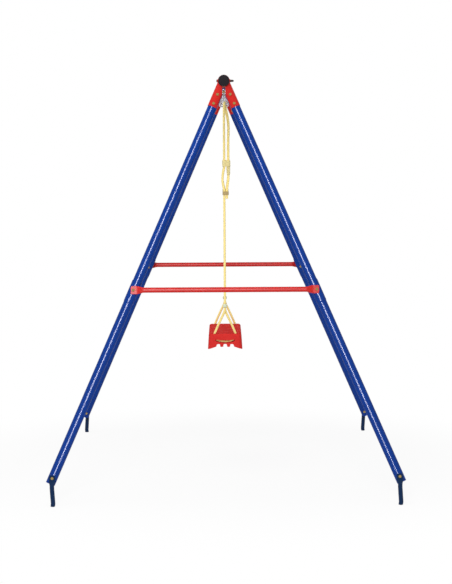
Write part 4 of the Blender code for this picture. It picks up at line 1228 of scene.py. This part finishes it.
    def pin_piece(self, level: Matrix) -> Item:
        """Turns the pin with its two domed heads.

        Args:
            level: The pivot's place.

        Returns:
            The pin.
        """
        head = self.gap / 2 + self.plate + FIT
        dome = [(self.pin_rim * math.sin(a), head + self.pin_head * math.cos(a)) for a in (0, 0.4, 0.8, 1.2, 1.5)]
        profile = [*dome, (self.pin_rim, head), (self.pin, head)]
        profile += [(self.pin, -head), (self.pin_rim, -head), *[(r, -z) for r, z in dome[::-1]]]
        return Bench.settle(Bench.turned("pin", profile, 32), level)

    def nut(self) -> Item:
        """Turns the nut on the stud.

        Returns:
            The nut at the middle of the beam.
        """
        low = self.layout.beam_height + self.layout.beam_radius + FIT
        wide, bore, top = self.nut_flats / math.sqrt(3), self.stud / 2 + FIT, low + self.nut_height
        shape = [(bore, top), (wide * 0.84, top), (wide, top - self.nut_edge), (wide, low), (bore, low)]
        return Bench.turned("nut", shape, 6, True)

    def build(self) -> None:
        """Fits a hanger at each end of the seat."""
        level = shift(0, 0, self.pivot) @ ALONG_Y
        pin = self.pin_piece(level)
        inner = self.pin + FIT
        wall = pipe(inner + self.bush_wall, inner, self.gap / 2 - FIT, self.bush_edge)
        bush = Bench.settle(Bench.turned("bush", wall, 32, True), level)
        kit = [
            ("hanger_clevis", self.clevis(), STEEL, "frame"),
            ("hanger_nut", self.nut(), ZINC, "frame"),
            ("hanger_pin", pin, ZINC, "frame"),
            ("hanger_bush", bush, NYLON, "swing"),
            ("swing_link", self.swing_link(), STEEL, "swing"),
            ("triangle_ring", self.ring(), STEEL, "swing"),
        ]
        for label, item, coat, body in kit:
            for end in End:
                place = shift(0, self.layout.rope_y(end), 0)
                Bench.fit(item, coat, body, f"{label}_{end.tag}", place, 35)
            Bench.discard(item)


# ---- Ropes and what is on them


@dataclass
class Ropes(Assembly):
    """The braided ropes, from the rings to the seat, and the moulded pieces on them."""

    hangers: Hangers
    radius: float = 0.005
    clearance: float = 0.0006
    bead_radius: float = 0.010
    bead_height: float = 0.768
    bead_cut: float = 55
    bead_dent: float = 0.0004
    strand_offset: float = 0.0053
    tail_offset: float = 0.019
    adjuster_drop: float = 0.265
    adjuster_length: float = 0.026
    adjuster_wall: float = 0.0032
    sleeve_radius: float = 0.0082
    sleeve_length: float = 0.036
    sleeve_pitch: float = 0.006
    sleeve_groove: float = 0.0013
    sleeve_edge: float = 0.0003
    keeper_edge: float = 0.0006
    clip_drop: float = 0.133
    clip_length: float = 0.016
    clip_wall: float = 0.0026
    clip_offset: float = 0.0118
    tail_below: float = 0.025
    deck: float = 0.642
    hole_spacing: float = 0.096
    strands: int = 8
    twist: float = 0.042
    core: float = 0.96  # of the radius, in the dips
    strand_rise: float = 0.09
    # painted shade: how far the colour darkens in the dips between strands
    painted_dip_shade: float = 0.36
    end_share: float = 0.8  # of the radius, at the cut ends
    sides: int = 48
    step: float = 0.0012

    @property
    def adjuster(self) -> float:
        """Height of the adjuster's middle."""
        return self.hangers.ring_base - self.adjuster_drop

    @property
    def clip(self) -> float:
        """Height of the tail clip's middle."""
        return self.adjuster - self.clip_drop

    @property
    def foot(self) -> float:
        """Height where the main rope meets the bead."""
        return self.bead_height + self.bead_radius + FIT

    def main_route(self, y: float) -> list[Point]:
        """The main rope's own points, as in the part's source.

        Args:
            y: Where the rope hangs along the beam.

        Returns:
            The points from the bead, over the ring and down to the tail's end.
        """
        turn = self.radius + self.hangers.wire + 2 * FIT
        top, adjuster, clip = self.hangers.ring_base, self.adjuster, self.clip
        span, drop, gap = clip - self.foot, self.adjuster_drop, self.clip_drop
        tail, held = self.tail_offset, self.clip_offset
        up = [(0, y, self.foot + span * s) for s in (0, 0.2, 0.5, 0.8)]
        up += [(0, y, clip), (0, y, clip + self.clip_length * 0.7)]
        up += [(x, y, clip + gap * s) for x, s in ((-0.0055, 0.28), (-0.0080, 0.47), (-0.0050, 0.68))]
        up += [(0, y, adjuster - self.adjuster_length * 0.65), (0, y, adjuster)]
        up += [(0, y - turn * aside, top - drop * s) for aside, s in ((0, 0.66), (0.25, 0.47), (0.8, 0.23))]
        up.append((0.0003, y - turn, top - 0.020))
        over = [
            (0.0005 + 0.005 * i / 8, y - turn * math.cos(a), top + turn * math.sin(a))
            for i, a in enumerate(spread(0, math.pi, 8))
        ]
        down = [(0.0085, y + turn, top - 0.020), (0.0165, y + turn * 0.8, top - drop * 0.21)]
        down += [(tail + 0.0015, y + turn * 0.3, top - drop * 0.36), (tail + 0.0010, y, top - drop * 0.49)]
        down += [(tail, y, top - drop * 0.66), (tail, y, adjuster), (tail, y, adjuster - gap * 0.45)]
        down += [(tail - 0.002, y, clip + gap * 0.38), (held + 0.001, y, clip + gap * 0.16)]
        return [*up, *over, *down, (held, y, clip), (held, y, clip - self.tail_below)]

    def seat_route(self, y: float) -> list[Point]:
        """The seat rope's own points, as in the part's source.

        Args:
            y: Where the rope hangs along the beam.

        Returns:
            The points from the bead, under the deck and back to the bead.
        """
        start = self.bead_height - self.bead_radius * math.sin(math.radians(self.bead_cut)) - FIT
        half, deck, out = self.hole_spacing / 2, self.deck, self.strand_offset
        above = [(0, out, 0), (0.0004, out, 0.008), (0.0024, 0.0050, 0.017), (0.0060, 0.0030, 0.026)]
        side = [(x, deep, start - z) for x, deep, z in [*above, (0.0108, 0.0010, 0.036)]]
        under = [(0.018, -0.041), (0.003, -0.006), (-0.0012, 0.010), (0.0010, 0.0175), (0.0085, 0.0255)]
        side += [(half - x, 0, deck - z) for x, z in [*under, (0.0190, 0.0300), (0.0330, 0.0330)]]
        right = [(x, y + deep, z) for x, deep, z in side]
        left = [(-x, y - deep, z) for x, deep, z in side]
        return [*left, (0, y, deck - 0.0345), *right[::-1]]

    def walk(self, route: list[Point]) -> list[Vector]:
        """Even steps along a smooth curve through a route.

        Args:
            route: The route's own points.

        Returns:
            Points one step apart.
        """
        marks = [Vector(p) for p in route]
        ends = [2 * marks[0] - marks[1], *marks, 2 * marks[-1] - marks[-2]]
        fine = []
        for a, b, c, d in zip(ends, ends[1:], ends[2:], ends[3:]):
            for t in spread(0, 1, 40)[:-1]:
                cubic = (3 * b - a - 3 * c + d) * t**3
                fine.append(0.5 * (2 * b + (c - a) * t + (2 * a - 5 * b + 4 * c - d) * t**2 + cubic))
        fine.append(marks[-1])
        total = sum((b - a).length for a, b in pairwise(fine))
        count = max(2, round(total / self.step))
        gap, walked, aim = total / count, 0.0, 0.0
        even = []
        for a, b in pairwise(fine):
            length = (b - a).length
            while aim <= walked + length and len(even) < count:
                even.append(a.lerp(b, (aim - walked) / length if length else 0))
                aim += gap
            walked += length
        return [*even, fine[-1]]

    def braid(self, angle: float, along: float) -> float:
        """Height of the braid's surface, from 0 in a dip to 1 on a strand's back.

        Args:
            angle: Turns round the rope.
            along: Metres along the rope.

        Returns:
            The height.
        """
        first = self.strands * (angle + along / self.twist)
        second = self.strands * (angle - along / self.twist)
        over = (math.floor(first) + math.floor(second)) % 2 == 0
        place, other = (first % 1, second % 1) if over else (second % 1, first % 1)
        crown = math.sqrt(max(0.0, 1 - (2 * place - 1) ** 2))
        return crown * (0.72 + 0.28 * math.sin(math.pi * other))

    def rope(self, name: str, route: list[Point]) -> tuple[Item, list[Vector]]:
        """Lays the braided strands along a route, as a mesh with its own map and painted shade for the dips.

        Args:
            name: The rope's name.
            route: Its route.

        Returns:
            The rope and the points of its centreline.
        """
        path = self.walk(route)
        sides, count = self.sides, len(path)
        last = (count - 1) * sides
        points, painted_dip_shades = [], []
        ahead = (path[1] - path[0]).normalized()
        side = ahead.cross(Vector((0, 1, 0)) if abs(ahead.y) < 0.9 else Vector((1, 0, 0))).normalized()
        for r, point in enumerate(path):
            ahead = (path[min(r + 1, count - 1)] - path[max(r - 1, 0)]).normalized()
            side = (side - ahead * side.dot(ahead)).normalized()
            other = ahead.cross(side)
            close = self.end_share if r in (0, count - 1) else 1.0
            for k in range(sides):
                height = self.braid(k / sides, r * self.step)
                reach = self.radius * close * (self.core + self.strand_rise * height)
                swing = 2 * math.pi * (k / sides)
                points.append(point + side * (reach * math.cos(swing)) + other * (reach * math.sin(swing)))
                # painted shade, strongest where the braid dips lowest
                painted_dip_shades.append((1 - height) * self.painted_dip_shade)
        faces = [
            (r + k, r + (k + 1) % sides, r + sides + (k + 1) % sides, r + sides + k)
            for r in range(0, last, sides)
            for k in range(sides)
        ]
        faces += [tuple(range(sides))[::-1], tuple(range(last, last + sides))]
        mesh = bpy.data.meshes.new(name)
        mesh.from_pydata([tuple(p) for p in points], [], faces)
        layer = mesh.uv_layers.new(name="rope")
        for face in mesh.polygons:
            seam = face.index < last and face.index % sides == sides - 1
            for loop in face.loop_indices:
                r, k = divmod(mesh.loops[loop].vertex_index, sides)
                layer.data[loop].uv = (k / sides + float(seam and k == 0), r * self.step)
        # the painted shade of the dips, read by the rope's material
        mesh.attributes.new("dip", "FLOAT", "POINT").data.foreach_set("value", painted_dip_shades)
        item = bpy.data.objects.new(name, mesh)
        bpy.context.scene.collection.objects.link(item)
        fix = bmesh.new()
        fix.from_mesh(mesh)
        bmesh.ops.recalc_face_normals(fix, faces=fix.faces)
        fix.to_mesh(mesh)
        fix.free()
        return item, path

    def bead(self) -> Item:
        """Turns the bead where the rope divides, with a moulded waist line.

        Returns:
            The bead, round its own middle.
        """
        profile = [(0, self.bead_radius)]
        for i in range(1, 19):
            angle = math.radians(90 - (90 + self.bead_cut) * i / 18)
            reach = self.bead_radius - (self.bead_dent if i in (10, 11) else 0.0)
            profile.append((reach * math.cos(angle), reach * math.sin(angle)))
        return Bench.turned("bead", [*profile, (0, profile[-1][1])], 40)

    def keeper(self, offset: float, length: float, wall: float) -> Item:
        """Moulds a two-hole block for the rope and its tail.

        Args:
            offset: Between the two ropes.
            length: The block's height.
            wall: Least material round a hole.

        Returns:
            The block, its first hole on the Z axis.
        """
        hole, middle, round_off = self.radius + self.clearance, offset / 2, wall * 0.5
        deep = hole + wall
        wide = middle + deep
        across, out = Vector((1, 0, 0)), Vector((0, 1, 0))
        arc = spread(0, math.pi / 2, 5)
        rings = [(-length / 2 + round_off * (1 - math.cos(a)), round_off * (1 - math.sin(a))) for a in arc]
        rings += [(-level, inset) for level, inset in rings[::-1]]
        shells = [stadium(Vector((middle, 0, z)), across, out, wide - inset, deep - inset, 48) for z, inset in rings]
        body = Bench.loft("keeper", shells)
        for x in (0.0, offset):
            Bench.combine(body, Bench.rod("hole", hole, 3 * length, shift(x, 0, 0)))
        return Bench.soften(body, self.keeper_edge, 3, 50)

    def sleeve(self) -> Item:
        """Turns the corrugated sleeve that hangs from the adjuster round the tail.

        Returns:
            The sleeve, its top at the adjuster's underside.
        """
        bore, rim = self.radius + self.clearance, self.sleeve_radius
        valley, half = rim - self.sleeve_groove, self.sleeve_pitch / 2
        profile = [(bore, 0), (rim, 0)]
        for i in range(round(self.sleeve_length / self.sleeve_pitch)):
            top = -i * self.sleeve_pitch
            profile += [(rim, top - half * 0.7), (valley, top - half)]
            profile += [(valley, top - 1.7 * half), (rim, top - 2 * half)]
        profile.append((bore, profile[-1][1]))
        return Bench.soften(Bench.turned("sleeve", profile, 28, True), self.sleeve_edge, 2, 50)

    def build(self) -> None:
        """Lays the ropes of both ends and fits their moulded pieces."""
        bead = self.bead()
        adjuster = self.keeper(self.tail_offset, self.adjuster_length, self.adjuster_wall)
        clip = self.keeper(self.clip_offset, self.clip_length, self.clip_wall)
        sleeve = self.sleeve()
        fittings = [
            (bead, "rope_bead", self.bead_height, PALE, "seat"),
            (adjuster, "rope_adjuster", self.adjuster, CREAM, "swing"),
            (clip, "tail_clip", self.clip, TAN, "swing"),
        ]
        for end in End:
            y = self.layout.rope_y(end)
            for node, route, body, far_end in (
                (f"main_rope_{end.tag}", self.main_route(y), "swing", "bare"),
                (f"seat_rope_{end.tag}", self.seat_route(y), "seat", "object"),
            ):
                rope, path = self.rope(f"{node}_dress", route)
                Bench.finish(rope, YELLOW, body, node, 80, False)
                self.declare(rope, path, far_end)
            for item, label, level, coat, body in fittings:
                Bench.fit(item, coat, body, f"{label}_{end.tag}", shift(0, y, level), 40)
            place = shift(self.tail_offset, y, self.adjuster - self.adjuster_length / 2 - FIT)
            Bench.finish(Bench.copy(sleeve, f"adjuster_sleeve_{end.tag}", place), CREAM, "swing", degrees=40)
        Bench.discard(bead, adjuster, clip, sleeve)

    def declare(self, item: Item, path: list[Vector], far_end: str) -> None:
        """Does nothing: the rope's length and far end are not passed on.

        Args:
            item: The rope; not used.
            path: Its centreline; not used.
            far_end: What its far end is, in the frame's words; not used.
        """


# ---- Seat


@dataclass
class Seat(Assembly):
    """The moulded flat seat: a deck and skirt in one shell, ribbed below, open slots at its ends."""

    width: float = 0.157
    height: float = 0.070
    top: float = 0.642
    draft: float = 0.0045
    corner: float = 0.018
    edge: float = 0.008
    wall: float = 0.0035
    deck: float = 0.0040
    rib: float = 0.0026
    rib_depth: float = 0.040
    cross_ribs: int = 3
    tooth_width: float = 0.0155
    tooth_spacing: float = 0.031
    tooth_depth: float = 0.0125
    arch: float = 0.023
    haunch: float = 0.012
    notch: float = 0.0385
    slot_width: float = 0.090
    slot_height: float = 0.019
    slot_drop: float = 0.0220
    slot_dip: float = 0.0030
    slot_ends: float = 0.0045
    hole: float = 0.00825
    hole_spacing: float = 0.096
    hole_depth: float = 0.024
    saddle: float = 0.0358
    saddle_drop: float = 0.0200
    corner_clear: float = 0.0080
    overlap: float = 0.001
    cut_depth: float = 0.03
    cut_start: float = 0.002
    round_off: float = 0.0007
    short_edge: float = 0.0003

    @property
    def tooth(self) -> tuple[float, float]:
        """Where a tooth of the lower edge starts and ends, from the middle."""
        return (self.tooth_spacing - self.tooth_width) / 2, (self.tooth_spacing + self.tooth_width) / 2

    def section(self, level: float, inset: float) -> Ring:
        """A rounded rectangle round the seat at a height.

        Args:
            level: The height.
            inset: How far in from the outside.

        Returns:
            The points in order.
        """
        lean = self.draft * (level - self.top + self.height) / self.height
        half_x = self.width / 2 - lean - inset
        half_y = self.layout.seat_length / 2 - lean - inset
        corner = self.corner - inset
        points = []
        for quarter, (sx, sy) in enumerate(((1, 1), (-1, 1), (-1, -1), (1, -1))):
            for share in spread(0, 1, 10):
                angle = math.pi / 2 * (quarter + share)
                x = sx * (half_x - corner) + corner * math.cos(angle)
                points.append(Vector((x, sy * (half_y - corner) + corner * math.sin(angle), level)))
        return points

    def shell(self) -> Item:
        """Lofts the outside, with a soft rounded rim, and hollows it.

        Returns:
            The hollow shell.
        """
        bottom = self.top - self.height
        levels = [(bottom, 0.0012), (bottom + 0.0005, 0.0004), (bottom + 0.0016, 0.0)]
        levels += [(bottom + 0.02, 0.0), (bottom + 0.04, 0.0)]
        arc = spread(0, math.pi / 2, 9)
        levels += [(self.top - self.edge * (1 - math.sin(a)), self.edge * (1 - math.cos(a))) for a in arc]
        body = Bench.loft("seat_shell", [self.section(level, inset) for level, inset in levels])
        low, high = bottom - self.overlap, self.top - self.deck - self.rib_depth
        hollow = Bench.loft("hollow", [self.section(low, self.wall), self.section(high, self.wall)])
        return Bench.combine(body, hollow)

    def pockets(self) -> list[Item]:
        """The blocks between the ribs under the deck, and the rope spaces at its ends.

        Returns:
            The blocks.
        """
        floor = self.top - self.deck
        low = floor - self.rib_depth - 0.01
        wall = self.wall + self.draft
        half_x, half_y = self.width / 2 - wall, self.layout.seat_length / 2 - wall
        chamber = self.layout.rope_y(End.BACK) - self.hole - self.overlap
        inner, outer = self.tooth
        rib, clear = self.rib / 2, self.corner_clear
        columns = [(-half_x, -outer - rib), (-outer + rib, -inner - rib), (-inner + rib, inner - rib)]
        columns += [(inner + rib, outer - rib), (outer + rib, half_x)]
        reach = chamber - self.rib
        pitch = 2 * reach / (self.cross_ribs + 1)
        blocks = []
        for (x0, x1), i in product(columns, range(self.cross_ribs + 1)):
            y0, y1 = -reach + pitch * i + (rib if i else 0), -reach + pitch * (i + 1) - rib
            blocks.append(Bench.block("pocket", (x0, y0, low), (x1, y1, floor)))
        for sign in (-1, 1):
            near, far = sign * chamber, sign * half_y
            outline = [(-half_x, near), (half_x, near), (half_x, far - sign * clear), (half_x - clear, far)]
            outline += [(clear - half_x, far), (-half_x, far - sign * clear)]
            space = Bench.prism("rope_space", outline, floor - low)
            blocks.append(Bench.settle(space, shift(0, 0, (floor + low) / 2) @ ALONG_Z))
        return blocks

    def scallop(self) -> Profile:
        """The scalloped lower edge of an end wall and the space below it.

        Returns:
            The outline as (x, z).
        """
        bottom = self.top - self.height
        middle = bottom + self.arch
        low = middle - self.tooth_depth
        inner, outer = self.tooth
        half, centre, notch, corner = (outer - inner) / 2, (outer + inner) / 2, self.notch, self.width / 2
        edge = [(0, middle + 0.001), (inner * 0.5, middle + 0.0006), (inner - 0.001, middle - 0.0008)]
        for a in spread(-math.pi / 2, math.pi / 2, 12):
            x = centre + half * math.copysign(abs(math.sin(a)) ** 0.7, math.sin(a))
            edge.append((x, low + self.tooth_depth * 0.78 * (1 - abs(math.cos(a)) ** 0.6)))
        edge += [(outer + 0.001, middle - 0.0008), (outer + 0.004, middle + 0.0004), (notch - 0.005, middle + 0.0002)]
        edge += [(notch - 0.0015, middle - 0.0015), (notch, middle - 0.005), (notch + 0.0015, bottom + self.haunch)]
        edge += [(corner - 0.020, bottom + 0.0055), (corner - 0.010, bottom + 0.0024)]
        edge.append((corner + 0.002, bottom - 0.0005))
        outline = [(-x, z) for x, z in edge[:0:-1]] + edge
        return outline + [(self.width, bottom - 0.02), (-self.width, bottom - 0.02)]

    def slot(self) -> Profile:
        """The smile-shaped opening in an end wall.

        Returns:
            The outline as (x, z).
        """
        half, level = self.slot_width / 2, self.top - self.slot_drop - self.slot_ends
        deep, arc = self.slot_height - self.slot_ends, spread(0, math.pi, 20)
        upper = [(half * math.cos(a), level - self.slot_dip * math.sin(a) ** 2) for a in arc]
        return upper + [(-half * math.cos(a), level - deep * math.sin(a) ** 0.8) for a in arc[1:-1]]

    def build(self) -> None:
        """Shapes, cuts and dresses the seat."""
        body = self.shell()
        for block in self.pockets():
            Bench.combine(body, block)
        inner = self.layout.seat_length / 2 - self.wall - self.draft
        floor, rib, over = self.top - self.deck, self.rib / 2, self.overlap
        for end in End:
            y = self.layout.rope_y(end)
            chamber = y - end.sign * (self.hole + over)
            y0, y1 = sorted((chamber - end.sign * over, end.sign * (inner + over)))
            for side in Side:
                x = side.sign * self.saddle
                low, high = (x - rib, y0, self.top - self.saddle_drop), (x + rib, y1, floor + over)
                Bench.combine(body, Bench.block("saddle", low, high), Join.ADD)
            place = shift(0, end.sign * (inner + self.cut_depth / 2 - self.cut_start), 0)
            for outline in (self.scallop(), self.slot()):
                Bench.combine(body, Bench.settle(Bench.prism("tool", outline, self.cut_depth), place))
            for side in Side:
                place = shift(side.sign * self.hole_spacing / 2, y, self.top)
                Bench.combine(body, Bench.rod("rope_hole", self.hole, self.hole_depth, place))
        Bench.soften(Bench.clean(body, self.short_edge), self.round_off, 2, 48)
        body.name = "moulded_seat"
        Bench.finish(body, SEAT_RED, "seat", "seat", 40)


# ---- Studio


@dataclass
class Studio:
    """Pale floor, soft light and the photograph's camera."""

    place: Point = (-0.006, -7.489, 1.489)
    yaw: float = 0.087
    pitch: float = 5.157
    roll: float = -0.318
    focal_pixels: float = 1613.0
    image_height: float = 584.0
    sensor: float = 36.0
    ambient: float = 0.3
    glossed: tuple[str, ...] = ("upper_tube", "lower_tube", "cross_tube", "beam_tube")

    def camera(self) -> None:
        """Sets the camera where the photograph's was."""
        data = bpy.data.cameras.new("camera")
        data.sensor_fit = "VERTICAL"
        data.sensor_height = self.sensor
        data.lens = self.focal_pixels / self.image_height * self.sensor
        camera = bpy.data.objects.new("camera", data)
        bpy.context.scene.collection.objects.link(camera)
        yaw, pitch, roll = (math.radians(a) for a in (self.yaw, self.pitch, self.roll))
        ahead = Vector((math.sin(yaw) * math.cos(pitch), math.cos(yaw) * math.cos(pitch), -math.sin(pitch)))
        turn = ahead.to_track_quat("-Z", "Y").to_matrix().to_4x4() @ Matrix.Rotation(roll, 4, "Z")
        turn.translation = self.place
        camera.matrix_world = turn
        bpy.context.scene.camera = camera

    def lamp(
        self, name: str, place: Point, aim: Point, size: tuple[float, float], power: float, mirrored: bool
    ) -> Item:
        """Adds one soft box.

        Args:
            name: Its name.
            place: Where it stands.
            aim: What it faces.
            size: Its width and height.
            power: Its power in watts.
            mirrored: Whether it only draws highlights, or else only lights.

        Returns:
            The lamp.
        """
        data = bpy.data.lights.new(name, "AREA")
        data.shape = "RECTANGLE"
        data.size, data.size_y = size
        data.energy = power
        lamp = bpy.data.objects.new(name, data)
        bpy.context.scene.collection.objects.link(lamp)
        lamp.location = place
        lamp.rotation_euler = (Vector(aim) - Vector(place)).to_track_quat("-Z", "Y").to_euler()
        lamp.visible_camera = False
        lamp.visible_glossy = mirrored
        lamp.visible_diffuse = not mirrored
        return lamp

    def floor(self) -> None:
        """Lays a pale floor that fades into the white backdrop."""
        Bench.hold()
        bpy.ops.mesh.primitive_circle_add(vertices=96, radius=30, fill_type="NGON")
        floor = Bench.fresh("studio_floor")
        material = bpy.data.materials.new("matt_white_floor")
        material.use_nodes = True
        tree = material.node_tree
        shader = tree.nodes["Principled BSDF"]
        shader.inputs["Base Color"].default_value = srgb("#FAFAFA")
        shader.inputs["Roughness"].default_value = 0.9
        shader.inputs["Specular IOR Level"].default_value = 0.1
        place = add_node(tree, "ShaderNodeTexCoord").outputs["Object"]
        reach = add_node(tree, "ShaderNodeVectorMath", {"operation": "LENGTH"}, {"0": place}).outputs["Value"]
        ramp = {"From Min": 0.8, "From Max": 1.8, "To Min": 0.88, "interpolation_type": "SMOOTHSTEP"}
        fade = add_node(tree, "ShaderNodeMapRange", ramp, {"Value": reach}).outputs["Result"]
        both = {"0": self.seen(tree), "1": fade}
        share = add_node(tree, "ShaderNodeMath", {"operation": "MULTIPLY"}, both).outputs["Value"]
        white = add_node(tree, "ShaderNodeEmission", {"Color": (1, 1, 1, 1), "Strength": 1.0}).outputs["Emission"]
        mix = add_node(tree, "ShaderNodeMixShader", {}, {"0": share, "1": shader.outputs["BSDF"], "2": white})
        tree.links.new(mix.outputs["Shader"], tree.nodes["Material Output"].inputs["Surface"])
        floor.data.materials.append(material)

    def seen(self, tree: Tree) -> Socket:
        """Tells rays that show the surround, direct or in metal and glass, from those that only light.

        Args:
            tree: The tree that asks.

        Returns:
            1 for camera, glossy and transmission rays, and 0 for the others.
        """
        path, either = add_node(tree, "ShaderNodeLightPath").outputs, {"operation": "MAXIMUM"}
        rays = {"0": path["Is Camera Ray"], "1": path["Is Glossy Ray"]}
        shown = add_node(tree, "ShaderNodeMath", either, rays).outputs["Value"]
        rays = {"0": shown, "1": path["Is Transmission Ray"]}
        return add_node(tree, "ShaderNodeMath", either, rays).outputs["Value"]

    def world(self) -> None:
        """Gives a white surround: full white where it is seen or mirrored, dimmer as light."""
        world = bpy.data.worlds.new("white_surround")
        bpy.context.scene.world = world
        world.use_nodes = True
        tree = world.node_tree
        back = tree.nodes["Background"]
        back.inputs["Color"].default_value = (1, 1, 1, 1)
        dim = {"To Min": self.ambient, "To Max": 1.0}
        level = add_node(tree, "ShaderNodeMapRange", dim, {"Value": self.seen(tree)})
        tree.links.new(level.outputs["Result"], back.inputs["Strength"])

    def build(self) -> None:
        """Sets the whole studio."""
        self.floor()
        self.world()
        strip = self.lamp("front_strip", (-0.75, -6.3, 2.5), (-0.1, 0, 2.5), (1.6, 4.9), 1500, True)
        tubes = bpy.data.collections.new("glossed_tubes")
        for item in bpy.data.objects:
            if item.name.startswith(self.glossed):
                tubes.objects.link(item)
        strip.light_linking.receiver_collection = tubes
        self.lamp("front_box", (-0.6, -6.3, 3.5), (0, 0, 0.9), (2.2, 2.2), 245, False)
        self.lamp("top_box", (-0.8, -1.0, 4.6), (0, 0, 0.6), (2.8, 2.8), 70, False)
        bpy.context.scene.view_settings.view_transform = "Standard"


def main() -> None:
    """Loads the frame and builds every piece over it, in order."""
    logging.basicConfig(level=logging.INFO, format="%(name)s: %(message)s")
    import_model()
    studio = Studio()
    studio.camera()
    layout = Layout()
    hangers = Hangers(layout)
    frame = [group(layout) for group in (TopBeam, Legs, Brackets, Crossbars, Stakes, Fasteners)]
    for assembly in [Ropes(layout, hangers), *frame, hangers, Seat(layout), studio]:
        assembly.build()
        LOG.info("%s done", type(assembly).__name__)


if __name__ == "__main__":
    main()
